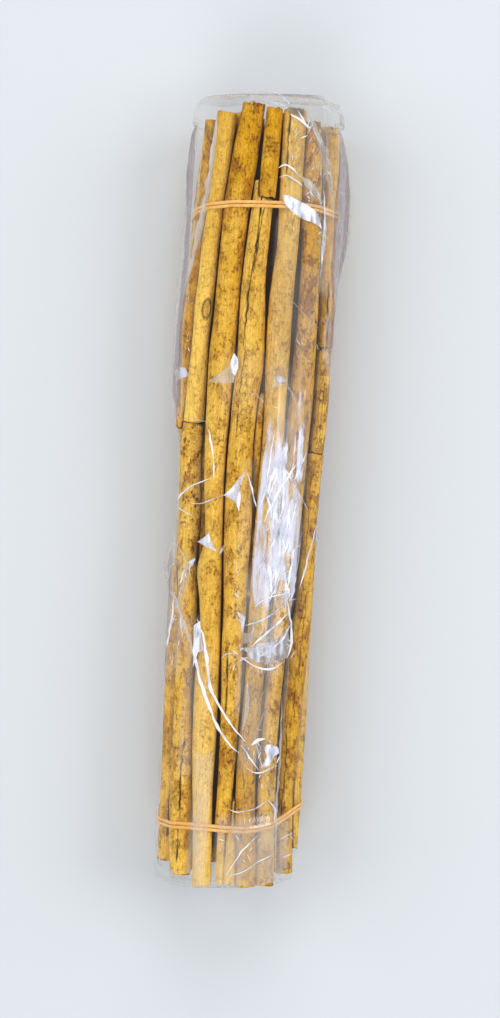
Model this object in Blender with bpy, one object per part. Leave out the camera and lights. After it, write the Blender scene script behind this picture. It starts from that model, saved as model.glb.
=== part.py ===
"""Bundle of long cinnamon quills in a clear film bag, held by two doubled rubber bands.

The bag is one solid out to its film, which lies tight on the outer quills, so the quills show as
ridges that lean, join and end at uneven places. Loose film stands out as a fold along each side and
is tucked square over both ends. Each rubber band lies in a shallow groove round the bundle.

Frame: the pack lies flat, the side that is looked at up (+Z). +Y points to the head end, +X to the
right of someone who looks down with the head end away from them. Metres.
"""

import math
from dataclasses import dataclass

import bmesh
import bpy
import numpy as np

# --- Driving dimensions ---------------------------------------------------------------------------
PACK_HEIGHT = 0.072          # top quill to underside
FLAT_SPOT = 0.0008           # how far the underside is pressed flat by the surface it lies on
SQUARENESS = 2.6             # exponent of the bundle's section: 2 is an ellipse, more is boxier
VALLEY_DEPTH = 0.0024        # how far the film sinks between two quills
FILM_SLACK = 0.0030          # how far it sinks where a quill ends
CLEARANCE = 0.0003           # air between a rubber band and its groove

# Stations along Y, from head to foot, at which the quills' places are given
QUILL_STATIONS = (0.216, 0.110, 0.010, -0.100, -0.216)

# The quills' outline seen from above: station, left side, right side
BUNDLE_OUTLINE = (
    (0.216, -0.0370, 0.0410),
    (0.165, -0.0411, 0.0432),
    (0.108, -0.0425, 0.0446),
    (0.050, -0.0430, 0.0440),
    (0.000, -0.0405, 0.0428),
    (-0.050, -0.0397, 0.0420),
    (-0.110, -0.0408, 0.0423),
    (-0.160, -0.0402, 0.0420),
    (-0.216, -0.0392, 0.0400),
)
# The loose film's outline: station, left edge, right edge. Where it is inside the quills' outline
# the film lies tight on them.
FILM_OUTLINE = (
    (0.218, -0.0430, 0.0428),
    (0.194, -0.0456, 0.0465),
    (0.167, -0.0466, 0.0480),
    (0.120, -0.0480, 0.0456),
    (0.086, -0.0476, 0.0461),
    (0.050, -0.0464, 0.0455),
    (0.033, -0.0420, 0.0440),
    (-0.020, -0.0400, 0.0420),
    (-0.042, -0.0447, 0.0418),
    (-0.065, -0.0427, 0.0425),
    (-0.200, -0.0406, 0.0414),
)
# The folded ends, as the film's outline past the quills: station, left, right, share of the height
HEAD_FOLD = (
    (0.2130, -0.0420, 0.0420, 0.97),
    (0.2190, -0.0405, 0.0415, 0.95),
    (0.2240, -0.0400, 0.0370, 0.91),
    (0.2270, -0.0375, 0.0290, 0.84),
)
FOOT_FOLD = (
    (-0.2100, -0.0405, 0.0405, 0.97),
    (-0.2185, -0.0385, 0.0385, 0.96),
    (-0.2235, -0.0315, 0.0345, 0.93),
    (-0.2285, -0.0225, 0.0310, 0.86),
)
END_TILT = 0.055             # rise of both folded end edges, along Y for each metre of X
END_FROM = 0.200             # where that tilt starts, from the pack's middle
END_RAMP = 0.025             # and the run over which it comes to its full value
FOLD_RING = 0.55             # size of the ring of folds on an end, against the end's outline
FOLD_TUCK = 0.0020           # how far the tucked-in sides of an end lie behind its flap

BODY_STATIONS = 26           # plain stations between the folded ends
STATION_GAP = 0.0055         # least run between a plain station and any other
UPPER_ARC = (-48, -16, 16, 48)   # degrees round a quill that shows
LOWER_ARC = (-42, 0, 42)         # degrees round a quill of the underside
RESTING_ARC = (-50, -27, 27, 50)  # degrees round a quill that the pack rests on, flat between the inner two
RESTING = (3, 4, 5)              # which quills of the underside those are
LOWER_RADII = (0.0056, 0.0063, 0.0052, 0.0066, 0.0058, 0.0061, 0.0054, 0.0064, 0.0057)
LOWER_HEAD = 0.2150          # middle of the underside quills' head ends
LOWER_FOOT = -0.2220         # and of their foot ends
LOWER_UNEVEN = 0.0025        # how far each is off
END_RUN = 0.0030             # run over which the film sinks past a quill's end
JOINT_RUN = 0.0030           # and from a joint to the quill's full thickness
JOINT_PRESENCE = 0.45        # how far a joint still stands out
FIN_ROOT = 0.0022            # half thickness of a side fold where it leaves the quills
FIN_TIP = 0.0005             # and at its edge
FIN_LEAST = 0.0008           # how far it stands out where the film is tight


@dataclass(frozen=True)
class Lane:
    """A quill of the upper side, or several end to end, that the film lies on.

    turn and radius are where its axis lies round the bundle, in degrees from the top towards +X, and
    its radius, each at QUILL_STATIONS. head and foot are the Y of its ends, and joints are where one
    quill of it ends and the next begins.
    """

    turn: tuple
    radius: tuple
    head: float
    foot: float
    joints: tuple = ()


LANES = (
    Lane((-74, -78, -80, -80, -78), (0.0054, 0.0056, 0.0050, 0.0055, 0.0055), 0.2120, -0.2190, (0.032,)),
    Lane((-48, -53, -62, -54, -44), (0.0056, 0.0050, 0.0066, 0.0052, 0.0066), 0.2150, -0.2245, (0.037,)),
    Lane((-17, -24, -28, -22, -14), (0.0063, 0.0069, 0.0060, 0.0068, 0.0057), 0.2210, -0.2285),
    Lane((0, -3, -5, -2, 0), (0.0050, 0.0068, 0.0082, 0.0060, 0.0044), 0.2185, -0.2275, (-0.1915,)),
    Lane((18, 16, 15, 12, 15), (0.0066, 0.0063, 0.0062, 0.0056, 0.0060), 0.2195, -0.2275),
    Lane((39, 43, 39, 33, 36), (0.0046, 0.0050, 0.0052, 0.0050, 0.0048), 0.2130, -0.2270),
    Lane((72, 76, 79, 76, 74), (0.0056, 0.0052, 0.0049, 0.0060, 0.0056), 0.2080, -0.2210, (0.082, 0.022)),
)


@dataclass(frozen=True)
class Band:
    """A rubber band wound twice round the bundle.

    station is where it crosses the top. lean_x and lean_z tilt the plane it lies in, by metres along Y
    for each metre of X and of Z, and reach is how far along Y the quills' sections lean with it.
    crossing is where its two turns cross, in degrees from the top towards +X.
    """

    name: str
    station: float
    lean_x: float
    lean_z: float
    crossing: float
    reach: float


BANDS = (
    Band("band_head", 0.1630, 0.030, 0.12, 128.0, 0.070),
    Band("band_foot", -0.1965, 0.186, -0.42, 232.0, 0.095),
)
STRAND_WIDTH = 0.0014        # of the rubber, along the pack
STRAND_THICKNESS = 0.0011    # of the rubber, off the quills
STRAND_SPREAD = 0.0009       # each turn's middle from the band's middle
STRAND_LIFT = STRAND_THICKNESS + 0.0004   # of the turn that passes over the other
CROSSING_SPAN = 24.0         # degrees over which the turns change places
BAND_SEGMENTS = 44           # for each turn
WAIST = 0.0012               # how much a band draws the bundle in
WAIST_LENGTH = 0.016
GROOVE_DEPTH = 0.0016
GROOVE_HALF = STRAND_SPREAD + STRAND_WIDTH / 2 + CLEARANCE
GROOVE_WALL = 0.0005         # run of a groove's sloping wall


# --- Curves ---------------------------------------------------------------------------------------
def smooth(rows, place, column=1):
    """Value at a place of the smooth curve through rows, which run from high to low places."""
    places = [row[0] for row in rows]
    values = [row[column] for row in rows]
    place = min(max(place, places[-1]), places[0])
    i = next(k for k in range(len(rows) - 1) if place >= places[k + 1])
    span = places[i + 1] - places[i]
    t = (place - places[i]) / span

    def slope(k):
        low, high = max(k - 1, 0), min(k + 1, len(rows) - 1)
        return (values[high] - values[low]) / (places[high] - places[low]) * span

    h00 = 2 * t ** 3 - 3 * t ** 2 + 1
    h10 = t ** 3 - 2 * t ** 2 + t
    h01 = 3 * t ** 2 - 2 * t ** 3
    h11 = t ** 3 - t ** 2
    return h00 * values[i] + h10 * slope(i) + h01 * values[i + 1] + h11 * slope(i + 1)


def ease(t):
    """Smooth step from 0 to 1."""
    t = min(max(t, 0.0), 1.0)
    return t * t * (3 - 2 * t)


def rounded(half_x, half_z, angle):
    """Point of a rounded section's outline, at an angle from +Z towards +X, from its centre."""
    power = 2 / SQUARENESS
    sine, cosine = math.sin(angle), math.cos(angle)
    return (math.copysign(half_x * abs(sine) ** power, sine),
            math.copysign(half_z * abs(cosine) ** power, cosine))


def section_angle(half_x, half_z, x, z):
    """Angle at which a rounded section's outline lies in a direction from its centre."""
    power = SQUARENESS / 2
    return math.atan2(math.copysign(abs(x / half_x) ** power, x),
                      math.copysign(abs(z / half_z) ** power, z))


def facing(half_x, half_z, x, z):
    """Angle of the outward normal of a rounded section at one of its points."""
    power = SQUARENESS - 1
    nx = math.copysign(abs(x / half_x) ** power / half_x, x)
    nz = math.copysign(abs(z / half_z) ** power / half_z, z)
    return math.atan2(nx, nz)


# --- The bundle -----------------------------------------------------------------------------------
def axis_height():
    """Height of the bundle's middle above the surface that it lies on."""
    return PACK_HEIGHT / 2 - FLAT_SPOT


def drawn_in(station):
    """How much the rubber bands draw the bundle in at a station."""
    return sum(WAIST * math.exp(-((station - band.station) / WAIST_LENGTH) ** 2) for band in BANDS)


def bundle_size(station):
    """Centre along X and half sizes of the bundle's section at a station."""
    left, right = (smooth(BUNDLE_OUTLINE, station, k) for k in (1, 2))
    waist = drawn_in(station)
    return (left + right) / 2, (right - left) / 2 - waist, PACK_HEIGHT / 2 - waist


def lean(station, x, z):
    """Shift along Y of a point, from the tilt of the bands' planes and of the folded ends."""
    shift = 0.0
    for band in BANDS:
        share = ease(1 - abs(station - band.station) / band.reach)
        shift += share * (band.lean_x * x + band.lean_z * (z - PACK_HEIGHT + FLAT_SPOT))
    end = ease((abs(station) - END_FROM) / END_RAMP)
    for band in BANDS:
        if abs(station) > abs(band.station) and station * band.station > 0:
            shift *= 1 - end
    return shift + end * END_TILT * x


def place(station, x, z):
    """A point of a section, leaned along Y and kept above the surface below."""
    z = max(z, 0.0)
    return (x, station + lean(station, x, z), z)


def presence(station, head, foot, joints):
    """How far a lane stands out at a station: 1 on a quill, less past its end or at a joint."""
    past = max(station - head, foot - station)
    if past > 0:
        return 1 - ease(past / END_RUN)
    return JOINT_PRESENCE if station in joints else 1.0


def ring_of_quills(station):
    """Every quill round the section, from the upper left over the top and round underneath.

    Each is its angle, its radius, its presence and the angles of the points on it.
    """
    upper = []
    for lane in LANES:
        rows = list(zip(QUILL_STATIONS, lane.turn, lane.radius))
        present = presence(station, lane.head, lane.foot, lane.joints)
        upper.append((math.radians(smooth(rows, station)), smooth(rows, station, 2), present, UPPER_ARC))
    first, last = upper[0][0] + 2 * math.pi, upper[-1][0]
    step = (first - last) / (len(LOWER_RADII) + 1)
    lower = []
    for k, radius in enumerate(LOWER_RADII):
        head = LOWER_HEAD + LOWER_UNEVEN * math.sin(2.3 * k)
        present = presence(station, head, LOWER_FOOT + LOWER_UNEVEN * math.cos(1.7 * k), ())
        arc = RESTING_ARC if k in RESTING else LOWER_ARC
        lower.append((last + (k + 1) * step, radius, present, arc))
    return upper + lower


def end_fold(station):
    """Left side, right side and share of the height of the folded end at a station, if it is in one."""
    rows = HEAD_FOLD[::-1] if station > 0 else FOOT_FOLD
    if rows[-1][0] <= station <= rows[0][0]:
        return tuple(smooth(rows, station, k) for k in (1, 2, 3))
    return None


def tent_point(station, angle):
    """Point of the bare film's outline at a station, which the quills push out."""
    centre, half_x, half_z = bundle_size(station)
    fold = end_fold(station)
    if fold:
        left, right, height = fold
        centre, half_x, half_z = (left + right) / 2, (right - left) / 2, half_z * height
    else:
        half_x, half_z = half_x - FILM_SLACK, half_z - FILM_SLACK
    x, z = rounded(half_x, half_z, angle)
    return np.array((centre + x, axis_height() + z))


def lane_points(station, angle, radius, present, arc):
    """Points on the outer side of one quill of the section."""
    centre, half_x, half_z = bundle_size(station)
    x, z = rounded(half_x - radius, half_z - radius, angle)
    normal = facing(half_x - radius, half_z - radius, x, z)
    axis = np.array((centre + x, axis_height() + z))
    points = []
    for offset in arc:
        turn = normal + math.radians(offset)
        on_quill = axis + radius * np.array((math.sin(turn), math.cos(turn)))
        on_film = tent_point(station, angle + math.radians(offset) * radius / half_z)
        points.append(on_film + present * (on_quill - on_film))
    return points


def side_fold(station, valley, side):
    """Four points of the loose film along one side: root, edge, edge, root."""
    fold = end_fold(station)
    if fold:
        edge = fold[0] if side < 0 else fold[1]
    else:
        edge = smooth(FILM_OUTLINE, station, 1 if side < 0 else 2)
    reach = max(side * (edge - valley[0]), FIN_LEAST)
    up = np.array((0.0, 1.0))
    out = valley + np.array((side * reach, 0.0))
    points = [valley + FIN_ROOT * up, out + FIN_TIP * up, out - FIN_TIP * up, valley - FIN_ROOT * up]
    return points if side > 0 else points[::-1]


def pack_section(station):
    """The film's outline at a station, clockwise from the upper left."""
    ring = ring_of_quills(station)
    arcs = [lane_points(station, *lane) for lane in ring]
    middle = np.array((bundle_size(station)[0], axis_height()))
    outline = []
    for k, arc in enumerate(arcs):
        outline += arc
        following = arcs[(k + 1) % len(arcs)]
        bridge = (arc[-1] + following[0]) / 2
        inward = (middle - bridge) / np.linalg.norm(middle - bridge)
        depth = VALLEY_DEPTH * min(ring[k][2], ring[(k + 1) % len(ring)][2])
        valley = bridge + depth * inward
        if k == len(LANES) - 1:
            outline += side_fold(station, valley, 1)
        elif k == len(arcs) - 1:
            outline += side_fold(station, valley, -1)
        else:
            outline.append(valley)
    return outline


def groove_section(station, outline):
    """The groove's floor under a band, with a point for each point of the film's outline."""
    centre, half_x, half_z = bundle_size(station)
    points = []
    for x, z in outline:
        angle = section_angle(half_x, half_z, x - centre, z - axis_height())
        gx, gz = rounded(half_x - GROOVE_DEPTH, half_z - GROOVE_DEPTH, angle)
        points.append(np.array((centre + gx, axis_height() + gz)))
    return points


def stations():
    """Every station of the loft from head to foot, with whether a band's groove is there."""
    found = {}
    for lane in LANES:
        for joint in lane.joints:
            found[joint] = False
            found[joint + JOINT_RUN] = False
    for row in HEAD_FOLD + FOOT_FOLD:
        found[row[0]] = False
    found[QUILL_STATIONS[0]] = False
    for band in BANDS:
        for side in (-1, 1):
            found[band.station + side * GROOVE_HALF] = True
            found[band.station + side * (GROOVE_HALF + GROOVE_WALL)] = False
    for station in np.linspace(HEAD_FOLD[0][0], FOOT_FOLD[0][0], BODY_STATIONS):
        if all(abs(station - other) > STATION_GAP for other in found):
            found[float(station)] = False
    return sorted(found.items(), reverse=True)


def film_pack():
    """The whole bag as one closed solid, lofted through its sections."""
    mesh = bmesh.new()
    rings = []
    for station, grooved in stations():
        outline = pack_section(station)
        if grooved:
            outline = groove_section(station, outline)
        rings.append([mesh.verts.new(place(station, x, z)) for x, z in outline])
    for ring, following in zip(rings, rings[1:]):
        bridge_rings(mesh, ring, following)
    fold_end(mesh, rings[0], 1)
    fold_end(mesh, rings[-1], -1)
    return finish("film_pack", mesh, (0.55, 0.32, 0.07), 0.28)


def bridge_rings(mesh, ring, following):
    """Triangles between two rings with the same number of points."""
    count = len(ring)
    for k in range(count):
        after = (k + 1) % count
        mesh.faces.new((ring[k], ring[after], following[after]))
        mesh.faces.new((ring[k], following[after], following[k]))


def fold_end(mesh, ring, side):
    """Closes an end: a flap over two tucked-in sides, as a ring of folds round a middle."""
    middle = sum((np.array(vert.co) for vert in ring), np.zeros(3)) / len(ring)
    inner = []
    for vert in ring:
        out = np.array(vert.co) - middle
        across = abs(out[0]) / (abs(out[0]) + abs(out[2]))
        point = middle + FOLD_RING * out
        point[1] -= side * FOLD_TUCK * ease(2 * across - 0.5)
        inner.append(mesh.verts.new(point))
    if side > 0:
        bridge_rings(mesh, inner, ring)
    else:
        bridge_rings(mesh, ring, inner)
    centre = mesh.verts.new(middle)
    for k, vert in enumerate(inner):
        after = inner[(k + 1) % len(inner)]
        mesh.faces.new((centre, after, vert) if side > 0 else (centre, vert, after))


# --- The rubber bands -----------------------------------------------------------------------------
def band_strand(band, turn):
    """Offset along Y and lift off the groove of a band's strand, at a turn from 0 to 2."""
    degrees = 360 * turn
    crossing = band.crossing
    lift = 0.0
    offset = STRAND_SPREAD if crossing < degrees <= crossing + 360 else -STRAND_SPREAD
    for k, rises in ((0, True), (1, False)):
        past = (degrees - crossing - 360 * k) / CROSSING_SPAN
        if abs(past) < 1:
            swing = STRAND_SPREAD * (2 * ease((past + 1) / 2) - 1)
            offset = swing if k == 0 else -swing
            lift = STRAND_LIFT * ease(2 - 2 * abs(past)) if rises else 0.0
    return offset, lift


def rubber_band(band):
    """One band: a flat strand that winds twice round and crosses itself once."""
    mesh = bmesh.new()
    rings = []
    for k in range(2 * BAND_SEGMENTS):
        turn = k / BAND_SEGMENTS
        offset, lift = band_strand(band, turn)
        station = band.station + offset
        centre, half_x, half_z = bundle_size(band.station)
        inset = GROOVE_DEPTH - CLEARANCE - lift
        corners = []
        for outward, along in ((0, -1), (1, -1), (1, 1), (0, 1)):
            grow = outward * STRAND_THICKNESS - inset
            x, z = rounded(half_x + grow, half_z + grow, 2 * math.pi * turn)
            point = place(station + along * STRAND_WIDTH / 2, centre + x, axis_height() + z)
            corners.append(mesh.verts.new(point))
        rings.append(corners)
    for ring, following in zip(rings, rings[1:] + rings[:1]):
        bridge_rings(mesh, ring, following)
    return finish(band.name, mesh, (0.75, 0.42, 0.13), 0.55)


# --- Finish ---------------------------------------------------------------------------------------
def finish(name, mesh, colour, roughness):
    """Turns a finished bmesh into a named object with its own material."""
    bmesh.ops.recalc_face_normals(mesh, faces=mesh.faces)
    data = bpy.data.meshes.new(name)
    mesh.to_mesh(data)
    mesh.free()
    data.shade_smooth()
    data.set_sharp_from_angle(angle=math.radians(38))
    material = bpy.data.materials.new(name)
    material.use_nodes = True
    shader = material.node_tree.nodes["Principled BSDF"]
    shader.inputs["Base Color"].default_value = (*colour, 1)
    shader.inputs["Roughness"].default_value = roughness
    shader.inputs["Metallic"].default_value = 0.0
    data.materials.append(material)
    piece = bpy.data.objects.new(name, data)
    bpy.context.scene.collection.objects.link(piece)
    return piece


def stand_on_origin(pieces):
    """Moves the meshes so that the origin is under the middle of the whole pack's box."""
    corners = np.array([tuple(vert.co) for piece in pieces for vert in piece.data.vertices])
    low, high = corners.min(axis=0), corners.max(axis=0)
    shift = ((low[0] + high[0]) / 2, (low[1] + high[1]) / 2, low[2])
    for piece in pieces:
        for vert in piece.data.vertices:
            vert.co = [value - move for value, move in zip(vert.co, shift)]


def main():
    """Builds the bag and its two bands."""
    for leftover in list(bpy.context.scene.objects):
        bpy.data.objects.remove(leftover, do_unlink=True)
    stand_on_origin([film_pack()] + [rubber_band(band) for band in BANDS])


main()
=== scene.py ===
"""Looks of a bundle of long cinnamon quills in a clear, creased film bag with two rubber bands.

The bark quills are rolled tubes that lean, join end to end and carry cracks and knots. The film is one
closed wrap drawn tight over them, with loose edges, folded ends, a lap along it, pressed creases and
crumpled flaps. Metres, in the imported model's own frame: the shown side is up and +Y is the head end.
"""

import logging
import math
from dataclasses import dataclass, field
from enum import Enum

import bpy
import numpy as np
from mathutils import Matrix, Vector
from mathutils.geometry import delaunay_2d_cdt

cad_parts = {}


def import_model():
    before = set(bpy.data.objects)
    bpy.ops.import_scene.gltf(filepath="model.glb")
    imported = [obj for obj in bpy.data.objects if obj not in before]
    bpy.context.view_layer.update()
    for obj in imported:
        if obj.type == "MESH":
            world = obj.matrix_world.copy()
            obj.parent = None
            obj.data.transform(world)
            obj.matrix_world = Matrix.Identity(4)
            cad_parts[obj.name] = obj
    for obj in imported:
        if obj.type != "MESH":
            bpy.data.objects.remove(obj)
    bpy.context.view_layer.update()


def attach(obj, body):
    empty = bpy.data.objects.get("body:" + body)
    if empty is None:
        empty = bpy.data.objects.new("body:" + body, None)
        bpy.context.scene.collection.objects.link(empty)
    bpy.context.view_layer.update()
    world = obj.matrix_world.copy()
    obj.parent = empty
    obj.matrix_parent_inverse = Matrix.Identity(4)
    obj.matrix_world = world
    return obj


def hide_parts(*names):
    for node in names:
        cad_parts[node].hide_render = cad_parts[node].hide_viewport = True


LOG = logging.getLogger("cinnamon_bundle")
MM = 0.001
BODY = "root"
Row = tuple[float, ...]


# --- Curves and noise -----------------------------------------------------------------------------
def ease(t: np.ndarray | float) -> np.ndarray:
    """Smooth step from 0 to 1."""
    t = np.clip(t, 0.0, 1.0)
    return t * t * (3 - 2 * t)


def smooth(rows: tuple[Row, ...], places: np.ndarray | float, column: int = 1) -> np.ndarray:
    """Reads the smooth curve through a table.

    Args:
        rows: table whose first column is the place, in falling order.
        places: places to read at.
        column: which column to read.

    Returns:
        The column's value at each place.
    """
    table = np.array(rows, dtype=float)[::-1]
    x, v = table[:, 0], table[:, column]
    after, before = np.minimum(np.arange(len(x)) + 1, len(x) - 1), np.maximum(np.arange(len(x)) - 1, 0)
    slope = (v[after] - v[before]) / (x[after] - x[before])
    places = np.clip(places, x[0], x[-1])
    i = np.clip(np.searchsorted(x, places, side="right") - 1, 0, len(x) - 2)
    span = x[i + 1] - x[i]
    t = (places - x[i]) / span
    return ((2 * t**3 - 3 * t**2 + 1) * v[i] + (t**3 - 2 * t**2 + t) * span * slope[i]
            + (3 * t**2 - 2 * t**3) * v[i + 1] + (t**3 - t**2) * span * slope[i + 1])


class LatticeNoise:
    """Smooth noise from -1 to 1 on a seeded lattice, the same on every run."""

    def __init__(self, seed: int, size: int = 97) -> None:
        """Draws the lattice.

        Args:
            seed: seed of the random draw.
            size: number of lattice points each way before the pattern repeats.
        """
        self.size = size
        self.values = np.random.default_rng(seed).uniform(-1, 1, (size, size))

    def at(self, u: np.ndarray, v: np.ndarray) -> np.ndarray:
        """Reads the noise.

        Args:
            u: first coordinate, in lattice cells.
            v: second coordinate, in lattice cells.

        Returns:
            The noise at each place.
        """
        u, v = np.broadcast_arrays(np.asarray(u, float), np.asarray(v, float))
        iu, iv = np.floor(u).astype(int), np.floor(v).astype(int)
        fu, fv = ease(u - iu), ease(v - iv)
        n, grid = self.size, self.values
        low = grid[iu % n, iv % n] * (1 - fu) + grid[(iu + 1) % n, iv % n] * fu
        high = grid[iu % n, (iv + 1) % n] * (1 - fu) + grid[(iu + 1) % n, (iv + 1) % n] * fu
        return low * (1 - fv) + high * fv


def blurred(values: np.ndarray, sigma: float, axis: int, wrap: bool = False) -> np.ndarray:
    """Blurs an array along one axis.

    Args:
        values: array to blur.
        sigma: width of the blur, in samples.
        axis: axis to blur along.
        wrap: whether the axis closes on itself.

    Returns:
        The blurred array.
    """
    reach = max(1, int(3 * sigma))
    weights = np.exp(-0.5 * (np.arange(-reach, reach + 1) / sigma) ** 2)
    weights /= weights.sum()
    pads = [(0, 0)] * values.ndim
    pads[axis] = (reach, reach)
    padded = np.pad(values, pads, mode="wrap" if wrap else "edge")
    return np.apply_along_axis(lambda line: np.convolve(line, weights, mode="valid"), axis, padded)


# --- Trees and meshes -----------------------------------------------------------------------------
class TreeBuilder:
    """Adds and joins the nodes of one shader or geometry tree."""

    def __init__(self, tree: bpy.types.NodeTree) -> None:
        """Keeps the tree."""
        self.tree = tree

    def add(self, kind: str, inputs: dict | None = None, **settings: object) -> bpy.types.Node:
        """Adds a node.

        Args:
            kind: the node's type name.
            inputs: socket name or number to a value, or to an output socket that feeds it.
            settings: properties of the node.

        Returns:
            The new node.
        """
        node = self.tree.nodes.new(kind)
        for name, value in settings.items():
            setattr(node, name, value)
        for key, value in (inputs or {}).items():
            if isinstance(value, bpy.types.NodeSocket):
                self.tree.links.new(value, node.inputs[key])
            else:
                node.inputs[key].default_value = value
        return node

    def math(self, operation: str, first: object, second: object = 0.0) -> bpy.types.NodeSocket:
        """Adds a Math node.

        Args:
            operation: what it works out.
            first: first value or socket.
            second: second value or socket.

        Returns:
            Its output socket.
        """
        kind = "ShaderNodeMath"
        return self.add(kind, {0: first, 1: second}, operation=operation).outputs[0]

    def attribute(self, name: str) -> bpy.types.NodeSocket:
        """Adds an Attribute node and returns its number socket."""
        return self.add("ShaderNodeAttribute", attribute_name=name).outputs["Fac"]

    def ramp(self, value: object, low: float, high: float) -> bpy.types.NodeSocket:
        """Adds a smooth step.

        Args:
            value: socket to read.
            low: value that gives 0.
            high: value that gives 1.

        Returns:
            The step's output socket.
        """
        node = self.add("ShaderNodeMapRange", {"Value": value, "From Min": low, "From Max": high},
                        interpolation_type="SMOOTHSTEP")
        return node.outputs["Result"]

    def noise(self, vector: object, scale: float, detail: float = 3.0, roughness: float = 0.5,
              stretch: tuple[float, float, float] = (1, 1, 1)) -> bpy.types.NodeSocket:
        """Adds a Noise Texture on a stretched coordinate.

        Args:
            vector: coordinate socket.
            scale: noise scale, in cells per metre.
            detail: octaves.
            roughness: weight of the finer octaves.
            stretch: factor on each coordinate.

        Returns:
            The noise value socket.
        """
        place = self.add("ShaderNodeVectorMath", {0: vector, 1: stretch}, operation="MULTIPLY").outputs[0]
        node = self.add("ShaderNodeTexNoise",
                        {"Vector": place, "Scale": scale, "Detail": detail, "Roughness": roughness})
        return node.outputs[0]

    def mix(self, factor: object, first: object, second: object, mode: str = "MIX") -> bpy.types.NodeSocket:
        """Adds a colour mix.

        Args:
            factor: share of the second colour.
            first: first colour.
            second: second colour.
            mode: how they blend.

        Returns:
            The mixed colour socket.
        """
        node = self.add("ShaderNodeMix", data_type="RGBA", blend_type=mode)
        for key, value in ((0, factor), (6, first), (7, second)):
            if isinstance(value, bpy.types.NodeSocket):
                self.tree.links.new(value, node.inputs[key])
            else:
                node.inputs[key].default_value = value
        return node.outputs[2]


def new_material(name: str) -> tuple[bpy.types.Material, TreeBuilder]:
    """Makes an empty node material.

    Args:
        name: the material's name.

    Returns:
        The material and a builder for its tree.
    """
    material = bpy.data.materials.new(name)
    material.use_nodes = True
    material.node_tree.nodes.clear()
    return material, TreeBuilder(material.node_tree)


def mesh_piece(name: str, points: np.ndarray, faces: list, material: bpy.types.Material,
               fields: dict[str, np.ndarray] | None = None) -> bpy.types.Object:
    """Makes a smooth shaded object at the origin.

    Args:
        name: the piece's name.
        points: its points, in metres.
        faces: its faces, as lists of point numbers.
        material: its finish.
        fields: named values for each point, which materials read.

    Returns:
        The new object.
    """
    mesh = bpy.data.meshes.new(name)
    mesh.from_pydata(points.tolist(), [], faces)
    for key, values in (fields or {}).items():
        layer = mesh.attributes.new(key, "FLOAT", "POINT")
        layer.data.foreach_set("value", np.asarray(values, dtype=np.float32).ravel())
    mesh.validate()
    mesh.shade_smooth()
    mesh.materials.append(material)
    piece = bpy.data.objects.new(name, mesh)
    bpy.context.scene.collection.objects.link(piece)
    return piece


def tube_faces(rows: int, columns: int, start: int = 0) -> list[tuple[int, int, int, int]]:
    """Quads of a closed tube of rings.

    Args:
        rows: number of rings.
        columns: points on a ring.
        start: number of the first point.

    Returns:
        The quads, each as four point numbers.
    """
    k, j = np.meshgrid(np.arange(rows - 1), np.arange(columns), indexing="ij")
    after = (j + 1) % columns
    quads = np.stack((k * columns + j, k * columns + after, (k + 1) * columns + after,
                      (k + 1) * columns + j), axis=-1)
    return (quads.reshape(-1, 4) + start).tolist()


def evaluated_points(piece: bpy.types.Object) -> np.ndarray:
    """Reads the points of an object with its modifiers, then removes the object.

    Args:
        piece: object to read.

    Returns:
        Its points, one row each.
    """
    mesh = bpy.data.meshes.new_from_object(piece.evaluated_get(bpy.context.evaluated_depsgraph_get()))
    points = np.empty(3 * len(mesh.vertices))
    mesh.vertices.foreach_get("co", points)
    source = piece.data
    bpy.data.objects.remove(piece)
    bpy.data.meshes.remove(source)
    bpy.data.meshes.remove(mesh)
    return points.reshape(-1, 3)


def run_tree(name: str, lines: list[np.ndarray], tree: bpy.types.NodeTree, values: dict[str, object],
             fields: dict[str, list[np.ndarray]], closed: bool = False) -> bpy.types.Object:
    """Puts a Geometry Nodes tree on lines of points.

    Args:
        name: name of the object.
        lines: the points of each line.
        tree: the Geometry Nodes tree.
        values: value of each named input.
        fields: named values for each point of each line.
        closed: whether the lines close on themselves.

    Returns:
        The object, with the modifier live.
    """
    mesh = bpy.data.meshes.new(name)
    edges, start = [], 0
    for line in lines:
        last = start + len(line) - 1
        edges += [(k, k + 1) for k in range(start, last)] + ([(last, start)] if closed else [])
        start = last + 1
    mesh.from_pydata(np.concatenate(lines).tolist(), edges, [])
    for key, numbers in fields.items():
        layer = mesh.attributes.new(key, "FLOAT", "POINT")
        layer.data.foreach_set("value", np.concatenate(numbers).astype(np.float32))
    piece = bpy.data.objects.new(name, mesh)
    bpy.context.scene.collection.objects.link(piece)
    modifier = piece.modifiers.new("shape", "NODES")
    modifier.node_group = tree
    for item in tree.interface.items_tree:
        if item.item_type == "SOCKET" and item.in_out == "INPUT" and item.name in values:
            modifier[item.identifier] = values[item.name]
    return piece


def made_plain(piece: bpy.types.Object) -> bpy.types.Object:
    """Turns an object with live nodes into a plain mesh.

    Args:
        piece: the object.

    Returns:
        The same object without modifiers.
    """
    mesh = bpy.data.meshes.new_from_object(piece.evaluated_get(bpy.context.evaluated_depsgraph_get()))
    source = piece.data
    piece.modifiers.clear()
    piece.data = mesh
    bpy.data.meshes.remove(source)
    mesh.name = piece.name
    return piece


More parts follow.
